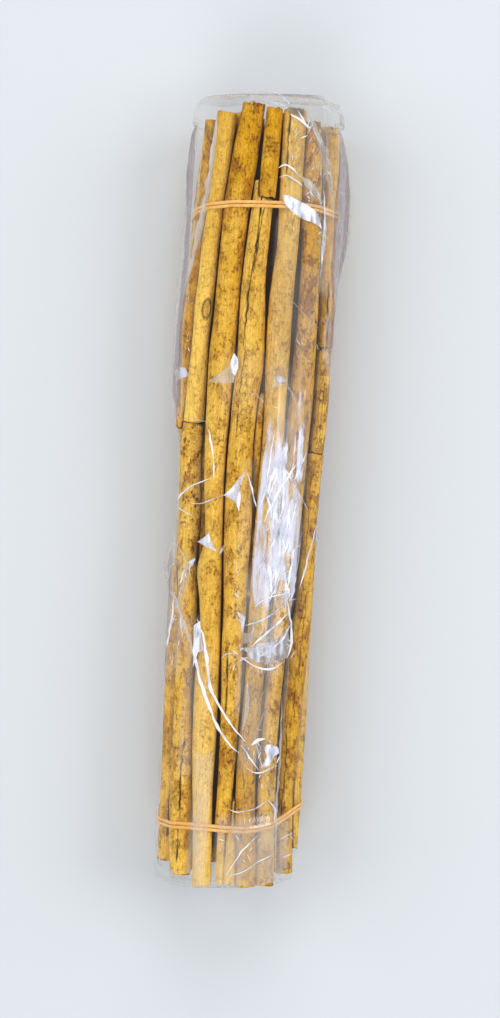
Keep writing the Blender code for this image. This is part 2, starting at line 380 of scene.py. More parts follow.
# --- The bundle's form ----------------------------------------------------------------------------
@dataclass(frozen=True)
class BundleForm:
    """The bundle's rounded section, out to its film, at every station along it.

    outline and film are the sides of the quills and of the loose film seen from above: station, left,
    right. head_fold and foot_fold are the folded ends, with the share of the height as well.
    """

    height: float = 0.072
    axis: float = 0.0352
    squareness: float = 2.6
    steepest: float = 0.965
    outline: tuple[Row, ...] = (
        (0.216, -0.0370, 0.0410), (0.165, -0.0411, 0.0432), (0.108, -0.0425, 0.0446),
        (0.050, -0.0430, 0.0440), (0.000, -0.0405, 0.0428), (-0.050, -0.0397, 0.0420),
        (-0.110, -0.0408, 0.0423), (-0.160, -0.0402, 0.0420), (-0.216, -0.0392, 0.0400))
    film: tuple[Row, ...] = (
        (0.218, -0.0430, 0.0432), (0.194, -0.0456, 0.0478), (0.167, -0.0466, 0.0500), (0.148, -0.0472, 0.0498),
        (0.120, -0.0483, 0.0474), (0.086, -0.0482, 0.0465), (0.058, -0.0472, 0.0457),
        (0.033, -0.0420, 0.0440), (-0.020, -0.0400, 0.0420), (-0.042, -0.0447, 0.0418),
        (-0.065, -0.0427, 0.0425), (-0.200, -0.0406, 0.0414))
    head_fold: tuple[Row, ...] = (
        (0.2270, -0.0415, 0.0320, 0.84), (0.2240, -0.0432, 0.0385, 0.91),
        (0.2190, -0.0438, 0.0428, 0.95), (0.2130, -0.0440, 0.0440, 0.97))
    foot_fold: tuple[Row, ...] = (
        (-0.2100, -0.0405, 0.0405, 0.97), (-0.2180, -0.0375, 0.0380, 0.96),
        (-0.2230, -0.0295, 0.0345, 0.93), (-0.2285, -0.0215, 0.0310, 0.86))
    end_tilt: float = 0.055
    end_from: float = 0.200
    end_ramp: float = 0.025
    flare: float = 0.0050

    def section(self, station: np.ndarray) -> tuple[np.ndarray, np.ndarray, float]:
        """Reads the quills' section.

        Args:
            station: places along the bundle.

        Returns:
            The section's centre across, its half width and its half height.
        """
        left, right = smooth(self.outline, station, 1), smooth(self.outline, station, 2)
        return (left + right) / 2, (right - left) / 2, self.height / 2

    def crest(self, station: np.ndarray, across: np.ndarray, radius: np.ndarray) -> np.ndarray:
        """Height of the axis of a quill that lies against the film's upper side.

        Args:
            station: places along the bundle.
            across: where the axis is, across the bundle.
            radius: the quill's radius.

        Returns:
            The axis height at each place.
        """
        centre, half_x, half_z = self.section(station)
        share = np.minimum(np.abs(across - centre) / (half_x - radius), self.steepest)
        rise = (1 - share**self.squareness) ** (1 / self.squareness)
        return self.axis + (half_z - radius) * rise

    def ring_place(self, station: np.ndarray, angle: np.ndarray, inset: np.ndarray) -> np.ndarray:
        """Place on the section's outline moved inwards.

        Args:
            station: places along the bundle.
            angle: turn from the top towards +X, in radians.
            inset: how far inside the outline.

        Returns:
            Across and height at each place.
        """
        centre, half_x, half_z = self.section(station)
        power = 2 / self.squareness
        sine, cosine = np.sin(angle), np.cos(angle)
        x = centre + (half_x - inset) * np.sign(sine) * np.abs(sine) ** power
        z = self.axis + (half_z - inset) * np.sign(cosine) * np.abs(cosine) ** power
        return np.stack((x + 0 * z, z + 0 * x), axis=-1)

    def tent(self, station: np.ndarray, angles: np.ndarray) -> np.ndarray:
        """How far the folded ends' outline is from the middle.

        Args:
            station: places along the bundle, as a column.
            angles: directions from the top towards +X.

        Returns:
            The distance in each direction, 0 away from the ends.
        """
        reach = np.zeros((len(station), len(angles)))
        for rows in (self.head_fold, self.foot_fold):
            low, high = min(row[0] for row in rows), max(row[0] for row in rows)
            inside = (station >= low) & (station <= high)
            left, right, share = (smooth(rows, station[inside], k)[:, None] for k in (1, 2, 3))
            centre = self.section(station[inside])[0][:, None]
            sine, cosine = np.sin(angles)[None, :], np.cos(angles)[None, :]
            half_x = np.where(sine > 0, right - centre, centre - left)
            ratio = (np.abs(sine / half_x) ** self.squareness
                     + np.abs(cosine / (share * self.height / 2)) ** self.squareness)
            reach[inside] = ratio ** (-1 / self.squareness)
        return reach

    def end_lean(self, station: np.ndarray, across: np.ndarray) -> np.ndarray:
        """Shift along Y of the ends, which aren't cut quite square.

        Args:
            station: places along the bundle.
            across: places across it.

        Returns:
            The shift at each place.
        """
        return ease((np.abs(station) - self.end_from) / self.end_ramp) * self.end_tilt * across

    def end_flare(self, station: np.ndarray, across: np.ndarray, height: np.ndarray) -> np.ndarray:
        """Shift along Y of the ends' low sides, which reach further out than their top.

        Args:
            station: places along the bundle.
            across: places across it.
            height: their heights.

        Returns:
            The shift at each place.
        """
        low = ease((0.066 - height) / 0.030) * ease(height / 0.012)
        low = low * ease((0.042 - np.abs(across)) / 0.022)
        return np.sign(station) * self.flare * low * ease((np.abs(station) - self.end_from) / self.end_ramp)


# --- Finishes -------------------------------------------------------------------------------------
Colour = tuple[float, float, float, float]


def fibre_group() -> bpy.types.NodeTree:
    """Builds the group that gives bark its fibres, stains, specks and wrinkles.

    Returns:
        A group from a coordinate to masks and a height.
    """
    group = bpy.data.node_groups.new("bark_fibre", "ShaderNodeTree")
    group.interface.new_socket("Place", in_out="INPUT", socket_type="NodeSocketVector")
    for name in ("Fibre", "Grain", "Stain", "Cloud", "Speck", "Wrinkle", "Height"):
        group.interface.new_socket(name, in_out="OUTPUT", socket_type="NodeSocketFloat")
    build = TreeBuilder(group)
    place = build.add("NodeGroupInput").outputs["Place"]
    fibre = build.noise(place, 1000, 4, 0.7, (1, 0.05, 1))
    grain = build.noise(place, 1300, 3, 0.7, (1, 0.55, 1))
    cloud = build.noise(place, 165, 9, 0.74, (1, 0.6, 1))
    stain = build.ramp(cloud, 0.495, 0.555)
    near = build.math("ADD", build.math("MULTIPLY", build.ramp(cloud, 0.42, 0.58), 0.85), 0.15)
    speck = build.ramp(build.noise(place, 620, 5, 0.75, (1, 0.7, 1)), 0.54, 0.60)
    speck = build.math("MULTIPLY", speck, near)
    wrinkle = build.noise(place, 900, 3, 0.6, (0.11, 1, 0.11))
    height = build.math("ADD", build.math("MULTIPLY", fibre, 0.6), build.math("MULTIPLY", wrinkle, 0.4))
    height = build.math("SUBTRACT", height, build.math("MULTIPLY", speck, 0.5))
    outputs = {"Fibre": fibre, "Grain": grain, "Stain": stain, "Cloud": cloud, "Speck": speck,
               "Wrinkle": build.ramp(wrinkle, 0.60, 0.70), "Height": height}
    build.add("NodeGroupOutput", outputs)
    return group


@dataclass(frozen=True)
class BarkFinish:
    """Peeled, rolled and dried bark: pale tan to golden and brown, with stains, specks and fibres.

    Each piece's own values say how golden it is (tone), how stained (mottle), how dark a split, wrinkle or
    knot is together with the painted shade in furrows, mouths and on the core (dark), and how far a point is inside the
    roll (inner). shift moves the pattern.
    """

    name: str
    pale: Colour = (0.95, 0.605, 0.116, 1)
    gold: Colour = (0.64, 0.315, 0.003, 1)
    brown: Colour = (0.34, 0.120, 0.006, 1)
    speck: Colour = (0.110, 0.038, 0.005, 1)
    split_and_shade: Colour = (0.022, 0.008, 0.006, 1)
    inside: Colour = (0.30, 0.12, 0.025, 1)
    relief: float = 0.0005

    def material(self, fibre: bpy.types.NodeTree) -> bpy.types.Material:
        """Builds the material.

        Args:
            fibre: the shared bark group.

        Returns:
            The material.
        """
        material, build = new_material(self.name)
        place = build.add("ShaderNodeTexCoord").outputs["Object"]
        shift = build.add("ShaderNodeCombineXYZ", {0: build.attribute("shift"), 1: build.attribute("shift")})
        place = build.add("ShaderNodeVectorMath", {0: place, 1: shift.outputs[0]}, operation="ADD").outputs[0]
        bark = build.add("ShaderNodeGroup", node_tree=fibre)
        material.node_tree.links.new(place, bark.inputs["Place"])
        mottle, dark = build.attribute("mottle"), build.attribute("dark")
        slow = build.ramp(build.noise(place, 38, 4, 0.6, (1, 0.4, 1)), 0.32, 0.68)
        tone = build.math("ADD", build.attribute("tone"), build.math("MULTIPLY", slow, 0.5))
        tone = build.math("SUBTRACT", tone, 0.25)
        colour = build.mix(tone, self.pale, self.gold)
        worn = build.math("MULTIPLY", build.ramp(bark.outputs["Cloud"], 0.45, 0.33), 0.5)
        colour = build.mix(worn, colour, self.pale)
        stain = build.math("MULTIPLY", bark.outputs["Stain"], build.math("MULTIPLY", mottle, 0.85))
        colour = build.mix(stain, colour, self.brown)
        crease = build.math("MULTIPLY", bark.outputs["Wrinkle"], build.math("MULTIPLY", mottle, 0.45))
        colour = build.mix(crease, colour, self.brown)
        speck = build.math("MULTIPLY", bark.outputs["Speck"], build.math("ADD", mottle, 0.12))
        colour = build.mix(speck, colour, self.speck)
        lines = build.math("ADD", build.math("MULTIPLY", bark.outputs["Fibre"], 0.5),
                           build.math("MULTIPLY", bark.outputs["Grain"], 0.5))
        shade = build.add("ShaderNodeMapRange", {"Value": lines, "From Min": 0.36,
                                                 "From Max": 0.62, "To Min": 0.62, "To Max": 1.18})
        grey = build.add("ShaderNodeCombineColor", {k: shade.outputs[0] for k in range(3)}).outputs[0]
        colour = build.mix(1.0, colour, grey, "MULTIPLY")
        colour = build.mix(build.attribute("inner"), colour, self.inside)
        # dark mixes in near-black: the splits, wrinkles and knots, and the painted shade of furrows, mouths and the
        # core
        colour = build.mix(dark, colour, self.split_and_shade)
        rough = build.add("ShaderNodeMapRange", {"Value": bark.outputs["Fibre"], "To Min": 0.5, "To Max": 0.8})
        bump = build.add("ShaderNodeBump", {"Strength": 0.8, "Distance": self.relief,
                                            "Height": bark.outputs["Height"]})
        shader = build.add("ShaderNodeBsdfPrincipled", {
            "Base Color": colour, "Roughness": rough.outputs[0], "Metallic": 0.0,
            "Specular IOR Level": 0.07, "Normal": bump.outputs[0]})
        build.add("ShaderNodeOutputMaterial", {"Surface": shader.outputs[0]})
        return material


@dataclass(frozen=True)
class FilmFinish:
    """Clear stiff film: glossy, milky where it lies double, and white with painted highlights, glare and glints and
    with its own whitening at creases.

    The piece's haze value says how milky a point is, and its white value how much painted highlight covers it. The
    milkiness and the painted highlight are seen but let the light through to the bark.
    """

    name: str
    milk: Colour = (0.60, 0.54, 0.47, 1)
    lilac: Colour = (0.36, 0.33, 0.36, 1)
    plum: Colour = (0.20, 0.15, 0.17, 1)
    lavender: Colour = (0.64, 0.66, 0.80, 1)
    white: Colour = (0.86, 0.87, 0.93, 1)
    raggedness: float = 1.1
    densest: float = 0.80
    gloss: float = 0.10
    index: float = 1.40
    least_haze: float = 0.002
    dimming: float = 0.15

    def material(self) -> bpy.types.Material:
        """Builds the material.

        Returns:
            The material: clear and milky film mixed, with a mirror gloss over both.
        """
        material, build = new_material(self.name)
        place = build.add("ShaderNodeTexCoord").outputs["Object"]
        streak = build.noise(place, 170, 5, 0.65, (1, 0.16, 1))
        haze, white = build.attribute("haze"), build.attribute("white")
        cloud = build.math("MULTIPLY", haze, build.math("ADD", build.ramp(streak, 0.25, 0.75), 0.5))
        thread = build.noise(place, 420, 5, 0.7, (1, 0.13, 1))
        ragged = build.math("ADD", build.math("MULTIPLY", streak, 0.7), build.math("MULTIPLY", thread, 0.7))
        ragged = build.math("MULTIPLY", build.math("SUBTRACT", ragged, 0.7), self.raggedness)
        # white paints highlights, glare and glints on the film, and the film's own whitening at creases.
        highlight_cover = build.ramp(build.math("ADD", white, ragged), 0.32, 0.85)
        highlight_cover = build.math("MULTIPLY", highlight_cover, self.densest)
        # milky holds the milkiness together with the painted highlight and glare.
        milky = build.math("ADD", build.math("MAXIMUM", cloud, highlight_cover), self.least_haze)
        seen = build.add("ShaderNodeLightPath").outputs["Is Camera Ray"]
        seen = build.math("ADD", build.math("MULTIPLY", seen, 1 - self.dimming), self.dimming)
        milky = build.math("MULTIPLY", milky, seen)
        dusk = build.mix(build.ramp(streak, 0.40, 0.60), self.plum, self.lilac)
        milk = build.mix(build.ramp(haze, 0.50, 0.60), self.milk, dusk)
        light = build.mix(build.ramp(white, 0.66, 0.90), self.lavender, self.white)
        veil = build.add("ShaderNodeBsdfPrincipled", {
            "Base Color": build.mix(build.ramp(highlight_cover, 0.0, 0.5), milk, light), "Roughness": 0.5, "Metallic": 0.0,
            "Specular IOR Level": 0.2})
        clear = build.add("ShaderNodeBsdfTransparent", {0: (0.985, 0.985, 0.985, 1)})
        body = build.add("ShaderNodeMixShader", {0: milky, 1: clear.outputs[0], 2: veil.outputs[0]})
        ripple = build.noise(place, 130, 4, 0.6, (1, 0.25, 1))
        bump = build.add("ShaderNodeBump", {"Strength": 0.3, "Distance": 0.0006, "Height": ripple})
        shine = build.add("ShaderNodeBsdfAnisotropic", {
            "Color": (1, 1, 1, 1), "Roughness": self.gloss, "Normal": bump.outputs[0]})
        edge = build.add("ShaderNodeFresnel", {"IOR": self.index, "Normal": bump.outputs[0]})
        front = build.add("ShaderNodeNewGeometry").outputs["Backfacing"]
        reflect = build.math("MULTIPLY", edge.outputs[0], build.math("SUBTRACT", 1.0, front))
        both = build.add("ShaderNodeMixShader", {0: reflect, 1: body.outputs[0], 2: shine.outputs[0]})
        build.add("ShaderNodeOutputMaterial", {"Surface": both.outputs[0]})
        return material


@dataclass(frozen=True)
class RubberFinish:
    """Tan natural rubber with a little bloom."""

    name: str
    colour: Colour = (0.80, 0.40, 0.075, 1)
    bloom: Colour = (0.88, 0.55, 0.20, 1)

    def material(self) -> bpy.types.Material:
        """Builds the material.

        Returns:
            The material.
        """
        material, build = new_material(self.name)
        place = build.add("ShaderNodeTexCoord").outputs["Object"]
        cloud = build.noise(place, 260, 4, 0.6)
        colour = build.mix(build.ramp(cloud, 0.35, 0.7), self.colour, self.bloom)
        rough = build.add("ShaderNodeMapRange", {"Value": cloud, "To Min": 0.40, "To Max": 0.62})
        bump = build.add("ShaderNodeBump", {"Strength": 0.3, "Distance": 0.0002, "Height": cloud})
        shader = build.add("ShaderNodeBsdfPrincipled", {
            "Base Color": colour, "Roughness": rough.outputs[0], "Metallic": 0.0,
            "Normal": bump.outputs[0]})
        build.add("ShaderNodeOutputMaterial", {"Surface": shader.outputs[0]})
        return material


@dataclass(frozen=True)
class FloorFinish:
    """Plain pale studio floor."""

    name: str
    colour: Colour = (0.63, 0.66, 0.69, 1)

    def material(self) -> bpy.types.Material:
        """Builds the material.

        Returns:
            The material.
        """
        material, build = new_material(self.name)
        place = build.add("ShaderNodeTexCoord").outputs["Object"]
        tooth = build.noise(place, 300, 2, 0.5)
        bump = build.add("ShaderNodeBump", {"Strength": 0.05, "Distance": 0.0002, "Height": tooth})
        shader = build.add("ShaderNodeBsdfPrincipled", {
            "Base Color": self.colour, "Roughness": 0.85, "Metallic": 0.0, "Normal": bump.outputs[0]})
        build.add("ShaderNodeOutputMaterial", {"Surface": shader.outputs[0]})
        return material


# --- Quills ---------------------------------------------------------------------------------------
class End(Enum):
    """How a quill ends."""

    CUT = "cut square, with its rolled layers showing"
    TORN = "broken off ragged, with its rolled layers showing"
    POINTED = "split off at a slant"
    SOCKET = "cut square, with the next quill pushed in"
    TUCKED = "closed, out of sight inside another"


@dataclass(frozen=True)
class Crack:
    """A split along the bark.

    path is where it runs: station in millimetres and the share of the radius across from the crest.
    """

    path: tuple[Row, ...]
    width: float = 0.55
    depth: float = 1.3


@dataclass(frozen=True)
class Knot:
    """An oval scar of a twig: station in millimetres, share of the radius across, and its size."""

    station: float
    share: float
    length: float
    width: float
    rim: float = 0.35


@dataclass(frozen=True)
class Wrinkle:
    """A thin line across the bark: station in millimetres and the shares of the radius it runs between."""

    station: float
    share_from: float
    share_to: float
    width: float = 0.35
    depth: float = 0.7


@dataclass(frozen=True)
class Quill:
    """One quill: its route and everything that shows on it, in millimetres.

    rows are station, place across and radius, from head to foot. tones and mottles are at its head and
    foot. tucked says that it lies below its neighbours, sunk how far it dips at each station, point is
    the side its pointed ends point to, as a share of the radius.
    """

    name: str
    rows: tuple[Row, ...]
    head: End = End.CUT
    foot: End = End.CUT
    tones: tuple[float, float] = (0.4, 0.4)
    mottles: tuple[float, float] = (0.4, 0.4)
    cracks: tuple[Crack, ...] = ()
    knots: tuple[Knot, ...] = ()
    wrinkles: tuple[Wrinkle, ...] = ()
    sunk: tuple[Row, ...] = ()
    tucked: bool = False
    point: float = 0.0


UPPER_QUILLS = (
    # Its dark gold tones are partly its own colour, partly painted shade of the low left side.
    Quill("quill_outer_left_head", ((213, -33.8, 3.3), (188, -34.4, 3.4), (166, -34.6, 3.5), (148, -35.6, 3.7),
                                    (119, -38.2, 3.9), (100, -39.6, 4.2), (85, -39.8, 4.4), (32, -38.6, 5.0)),
          tones=(1.0, 0.8), mottles=(0.7, 0.7), foot=End.TORN),
    Quill("quill_outer_left_foot", ((-46, -36.8, 5.0), (-65, -36.1, 5.4), (-122, -35.2, 5.4), (-170, -34.2, 5.4),
                                    (-218.5, -33.8, 5.2)),
          tones=(0.7, 0.6), mottles=(0.6, 0.6), head=End.TORN, foot=End.TORN,
          cracks=(Crack(((-150, 0.3), (-200, 0.1))),)),
    Quill("quill_outer_left_middle", ((30, -34.8, 4.9), (-10, -34.4, 5.0), (-44, -34.6, 4.8)),
          tones=(0.7, 0.6), mottles=(0.6, 0.6), tucked=True),
    Quill("quill_left_head", ((216, -24.3, 5.9), (203, -25.0, 5.5), (189, -25.6, 5.0), (166, -27.4, 4.6),
                              (142, -29.4, 4.9), (119, -30.3, 5.0), (108, -31.0, 5.2), (98, -31.3, 5.1),
                              (85, -31.8, 4.8), (62, -32.3, 5.5), (37.2, -32.8, 6.1)),
          tones=(0.45, -0.30), mottles=(0.15, 0.25), foot=End.TUCKED,
          knots=(Knot(102, 0.38, 11.5, 5.6, 0.6),)),
    Quill("quill_left_foot", ((37, -32.9, 6.3), (27, -33.4, 6.7), (4, -32.5, 6.7), (-19, -31.6, 6.7),
                              (-42, -32.2, 5.7), (-65, -30.0, 5.5), (-94, -29.6, 5.1), (-123, -29.4, 5.0),
                              (-146, -28.2, 5.8), (-169, -27.5, 6.5), (-192, -26.6, 6.6), (-224.5, -24.4, 6.5)),
          head=End.SOCKET, foot=End.POINTED, tones=(0.55, 0.15), mottles=(1.0, 0.6),
          cracks=(Crack(((-148, 0.25), (-158, 0.02), (-170, -0.1), (-184, -0.02)), 0.5, 0.9), Crack(((-196, -0.3), (-204, -0.2), (-214, -0.35)), 0.5, 0.9)),
          knots=(Knot(-206, -0.25, 5, 2.6, 0.2),)),
    Quill("quill_centre_left", ((222, -9.0, 6.4), (200, -11.6, 7.0), (189, -12.6, 7.4), (166, -15.1, 7.4),
                                (143, -16.5, 7.0), (120, -17.3, 6.9), (97, -18.1, 6.9), (74, -18.9, 7.3),
                                (50, -19.1, 6.9), (27, -19.3, 6.4), (4, -18.9, 5.8), (-19, -17.6, 5.1),
                                (-32, -17.2, 5.1), (-41, -18.2, 6.3), (-49, -18.4, 7.1), (-65, -17.0, 6.2),
                                (-88, -15.7, 5.8), (-111, -16.2, 6.9), (-146, -15.5, 6.8), (-169, -15.0, 6.0),
                                (-192, -13.7, 5.5), (-229, -11.9, 5.5)),
          head=End.TORN, tones=(0.95, -0.05), mottles=(1.0, 0.15), knots=(Knot(-49, 0.55, 4, 3, 0.3),),
          wrinkles=(Wrinkle(58, -0.8, 0.6, 0.3, 0.4), Wrinkle(39, -0.7, 0.6, 0.3, 0.6),
                    Wrinkle(36, -0.3, 0.8, 0.3, 0.5), Wrinkle(30, -0.8, 0.4, 0.3, 0.4),
                    Wrinkle(112, -0.5, 0.7, 0.3, 0.4), Wrinkle(140, -0.7, 0.3, 0.3, 0.4))),
    Quill("quill_centre_head", ((219, 2.8, 4.6), (212, 2.6, 4.7), (189, 2.0, 5.1), (167, 1.4, 4.9)),
          foot=End.CUT, tones=(0.95, 0.9), mottles=(0.5, 0.5),
          wrinkles=(Wrinkle(201, -0.6, 0.3), Wrinkle(198.5, -0.3, 0.6), Wrinkle(196, -0.7, 0.5),
                    Wrinkle(193, -0.4, 0.7), Wrinkle(190.5, -0.6, 0.2))),
    Quill("quill_centre", ((178, -1.6, 5.2), (166, -0.9, 5.8), (143, -2.1, 6.3), (120, -3.2, 6.7),
                           (97, -2.8, 7.5), (74, -2.3, 7.8), (51, -3.9, 7.3), (27, -4.8, 7.0), (4, -4.8, 7.4),
                           (-18, -3.9, 8.0), (-42, -3.5, 7.2), (-65, -2.7, 6.6), (-88, -2.7, 6.1),
                           (-122, -1.8, 5.5), (-157, -1.7, 4.6), (-195, -2.2, 4.3)),
          head=End.POINTED, foot=End.TORN, tones=(0.20, 0.85), mottles=(0.25, 0.85), point=-0.8,
          sunk=((182, 5.0), (170, 4.0), (164, 1.0), (157, 0.0), (-200, 0.0)),
          cracks=(Crack(((166, -0.15), (150, -0.05), (128, -0.2), (108, -0.42), (84, -0.58)), 0.6, 0.95),
                  Crack(((158, 0.2), (148, 0.02), (134, 0.06), (122, -0.1)), 0.4, 0.55),
                  Crack(((84, -0.45), (60, -0.5), (30, -0.42)), 0.3, 0.5),
                  Crack(((-98, -0.5), (-110, -0.45), (-126, -0.52)), 0.5, 1.2))),
    Quill("quill_centre_sliver", ((56, 5.0, 3.2), (0, 5.4, 3.6), (-64, 4.8, 3.2)),
          head=End.TORN, foot=End.TORN, tones=(0.6, 0.6), mottles=(0.8, 0.8), tucked=True,
          sunk=((60, 1.4), (-70, 1.4))),
    Quill("quill_foot_sliver_left", ((-178, -2.5, 2.5), (-227, -2.0, 2.2)), tones=(0.3, 0.2),
          mottles=(0.2, 0.2), tucked=True, sunk=((-170, 1.5), (-230, 1.5))),
    Quill("quill_foot_sliver_right", ((-178, 3.2, 3.0), (-227, 3.4, 3.3)), tones=(0.2, 0.2),
          mottles=(0.2, 0.2), tucked=True, sunk=((-170, 1.2), (-230, 1.2)), head=End.TUCKED),
    Quill("quill_centre_right", ((220, 14.8, 6.5), (166, 14.9, 6.4), (143, 15.0, 6.1), (120, 13.6, 6.6),
                                 (97, 12.9, 7.0), (74, 13.1, 6.7), (51, 13.4, 6.2), (28, 13.3, 6.1),
                                 (-20, 12.0, 6.0), (-62, 11.2, 5.7), (-111, 11.0, 5.2), (-134, 10.3, 5.2),
                                 (-157, 9.5, 5.5), (-185, 10.4, 5.8), (-215, 12.4, 6.0), (-228, 12.6, 6.0)),
          head=End.TORN, tones=(0.25, 0.75), mottles=(0.2, 0.8),
          cracks=(Crack(((214, -0.5), (198, -0.55), (184, -0.52)), 0.7, 1.5),
                  Crack(((-160, -0.35), (-167, -0.22)), 0.3, 1.1))),
    Quill("quill_right", ((213, 25.4, 4.5), (201, 25.9, 4.6), (189, 27.0, 5.1), (167, 27.1, 5.7),
                          (143, 28.4, 5.7), (120, 28.9, 5.6), (97, 29.0, 6.0), (74, 28.4, 6.6),
                          (51, 27.9, 6.9), (28, 27.4, 6.5), (-20, 26.2, 5.8), (-58, 24.7, 5.3),
                          (-100, 22.9, 4.8), (-134, 22.0, 4.5),
                          (-157, 21.8, 4.8), (-180, 22.0, 5.2), (-205, 23.3, 5.2), (-227, 24.0, 5.2)),
          tones=(1.2, 0.5), mottles=(1.4, 0.7)),
    Quill("quill_outer_right_head", ((208, 37.6, 4.4), (200, 38.0, 4.6), (132, 38.5, 4.6), (109, 39.8, 4.6),
                                     (84, 40.6, 4.4)),
          foot=End.TORN, tones=(0.8, 0.95), mottles=(0.4, 0.7), cracks=(Crack(((120, 0.2), (90, 0.1))),)),
    Quill("quill_outer_right_middle", ((84, 40.3, 4.2), (51, 40.0, 4.3), (23, 39.0, 4.2)),
          head=End.POINTED, foot=End.TUCKED, tones=(0.75, 0.75), mottles=(0.8, 0.9),
          cracks=(Crack(((76, 0.1), (52, 0.25), (30, 0.2)), 0.2, 0.35), Crack(((60, -0.3), (36, -0.2)), 0.2, 0.3))),
    Quill("quill_outer_right_foot", ((23, 38.6, 4.8), (5, 38.1, 4.6), (-29, 37.2, 4.4), (-64, 37.1, 4.9),
                                     (-87, 35.2, 6.2), (-122, 33.6, 6.3), (-156, 33.0, 5.4), (-179, 32.8, 4.9),
                                     (-215, 34.4, 5.2), (-221, 34.6, 5.2)),
          head=End.SOCKET, tones=(0.65, 0.9), mottles=(0.9, 1.0), cracks=(Crack(((8, -0.3), (-26, -0.15), (-58, -0.3)), 0.2, 0.3),
                  Crack(((-135, -0.3), (-160, -0.2), (-190, -0.35)), 0.3, 0.5), Crack(((-118, 0.1), (-128, 0.3)), 0.3, 1.0), Crack(((-60, 0.2), (-110, 0.4)), 0.2, 0.4))),
    Quill("quill_outer_right_low", ((-28, 38.4, 4.2), (-76, 38.2, 4.6), (-122, 38.0, 5.0), (-168, 37.6, 5.0), (-208, 37.2, 4.8)),
          head=End.TORN, foot=End.TORN, tones=(0.8, 0.7), mottles=(0.6, 0.6), tucked=True),
)


def rolled_quill_tree() -> bpy.types.NodeTree:
    """Builds the tree that sweeps a rolled quill along its route.

    Returns:
        A tree from a line with a radius to a lumpy, fibrous tube, its points crowded on the crest.
    """
    tree = bpy.data.node_groups.new("rolled_quill", "GeometryNodeTree")
    sockets = (("Route", "Geometry", None), ("Spacing", "Float", 0.0012), ("Columns", "Int", 72),
               ("Crowding", "Float", 0.4), ("Lump Height", "Float", 0.00035),
               ("Fibre Height", "Float", 0.00007), ("Seed", "Float", 0.0), ("Bark", "Material", None))
    for name, kind, default in sockets:
        socket = tree.interface.new_socket(name, in_out="INPUT", socket_type=f"NodeSocket{kind}")
        if default is not None:
            socket.default_value = default
    tree.interface.new_socket("Quill", in_out="OUTPUT", socket_type="NodeSocketGeometry")
    build = TreeBuilder(tree)
    given = build.add("NodeGroupInput").outputs
    route = build.add("GeometryNodeMeshToCurve", {"Mesh": given["Route"]}).outputs[0]
    route = build.add("GeometryNodeResampleCurve", {"Curve": route, "Length": given["Spacing"]},
                      mode="LENGTH").outputs[0]
    route = build.add("GeometryNodeSetCurveNormal", {"Curve": route}, mode="Z_UP").outputs[0]
    ring = build.add("GeometryNodeCurvePrimitiveCircle", {"Resolution": given["Columns"], "Radius": 1.0})
    turn = build.add("GeometryNodeSplineParameter").outputs["Factor"]
    turn = build.math("MULTIPLY", build.math("SUBTRACT", turn, 0.5), 2 * math.pi)
    crowd = build.math("MULTIPLY", build.math("SINE", turn), given["Crowding"])
    turn = build.math("SUBTRACT", turn, crowd)
    flipped = build.math("MULTIPLY", build.math("COSINE", turn), -1.0)
    place = build.add("ShaderNodeCombineXYZ", {0: build.math("SINE", turn), 1: flipped}).outputs[0]
    profile = build.add("GeometryNodeSetPosition", {"Geometry": ring.outputs[0], "Position": place}).outputs[0]
    radius = build.add("GeometryNodeInputNamedAttribute", {"Name": "radius"}, data_type="FLOAT").outputs[0]
    tube = build.add("GeometryNodeCurveToMesh", {"Curve": route, "Profile Curve": profile, "Scale": radius,
                                                 "Fill Caps": False}).outputs[0]
    position = build.add("GeometryNodeInputPosition").outputs[0]
    seeded = build.add("ShaderNodeCombineXYZ", {0: given["Seed"], 2: given["Seed"]}).outputs[0]
    position = build.add("ShaderNodeVectorMath", {0: position, 1: seeded}, operation="ADD").outputs[0]
    lump = build.math("SUBTRACT", build.noise(position, 75, 3, 0.5, (1, 0.4, 1)), 0.5)
    fibre = build.math("SUBTRACT", build.noise(position, 700, 2, 0.5, (1, 0.06, 1)), 0.5)
    rise = build.math("ADD", build.math("MULTIPLY", lump, build.math("MULTIPLY", given["Lump Height"], 2.0)),
                      build.math("MULTIPLY", fibre, build.math("MULTIPLY", given["Fibre Height"], 2.0)))
    normal = build.add("GeometryNodeInputNormal").outputs[0]
    offset = build.add("ShaderNodeVectorMath", {0: normal, "Scale": rise}, operation="SCALE").outputs[0]
    moved = build.add("GeometryNodeSetPosition", {"Geometry": tube, "Offset": offset}).outputs[0]
    solid = build.add("GeometryNodeRealizeInstances", {"Geometry": moved}).outputs[0]
    dressed = build.add("GeometryNodeSetMaterial", {"Geometry": solid, "Material": given["Bark"]}).outputs[0]
    build.add("NodeGroupOutput", {0: dressed})
    return tree


@dataclass
class Route:
    """A quill's axis: station from head to foot, place across, height and radius, in metres."""

    station: np.ndarray
    across: np.ndarray
    height: np.ndarray
    radius: np.ndarray

    def at(self, station: np.ndarray) -> tuple[np.ndarray, np.ndarray, np.ndarray]:
        """Reads the axis.

        Args:
            station: places along the bundle.

        Returns:
            Place across, height and radius at each.
        """
        rising = self.station[::-1]
        return tuple(np.interp(station, rising, line[::-1]) for line in (self.across, self.height, self.radius))


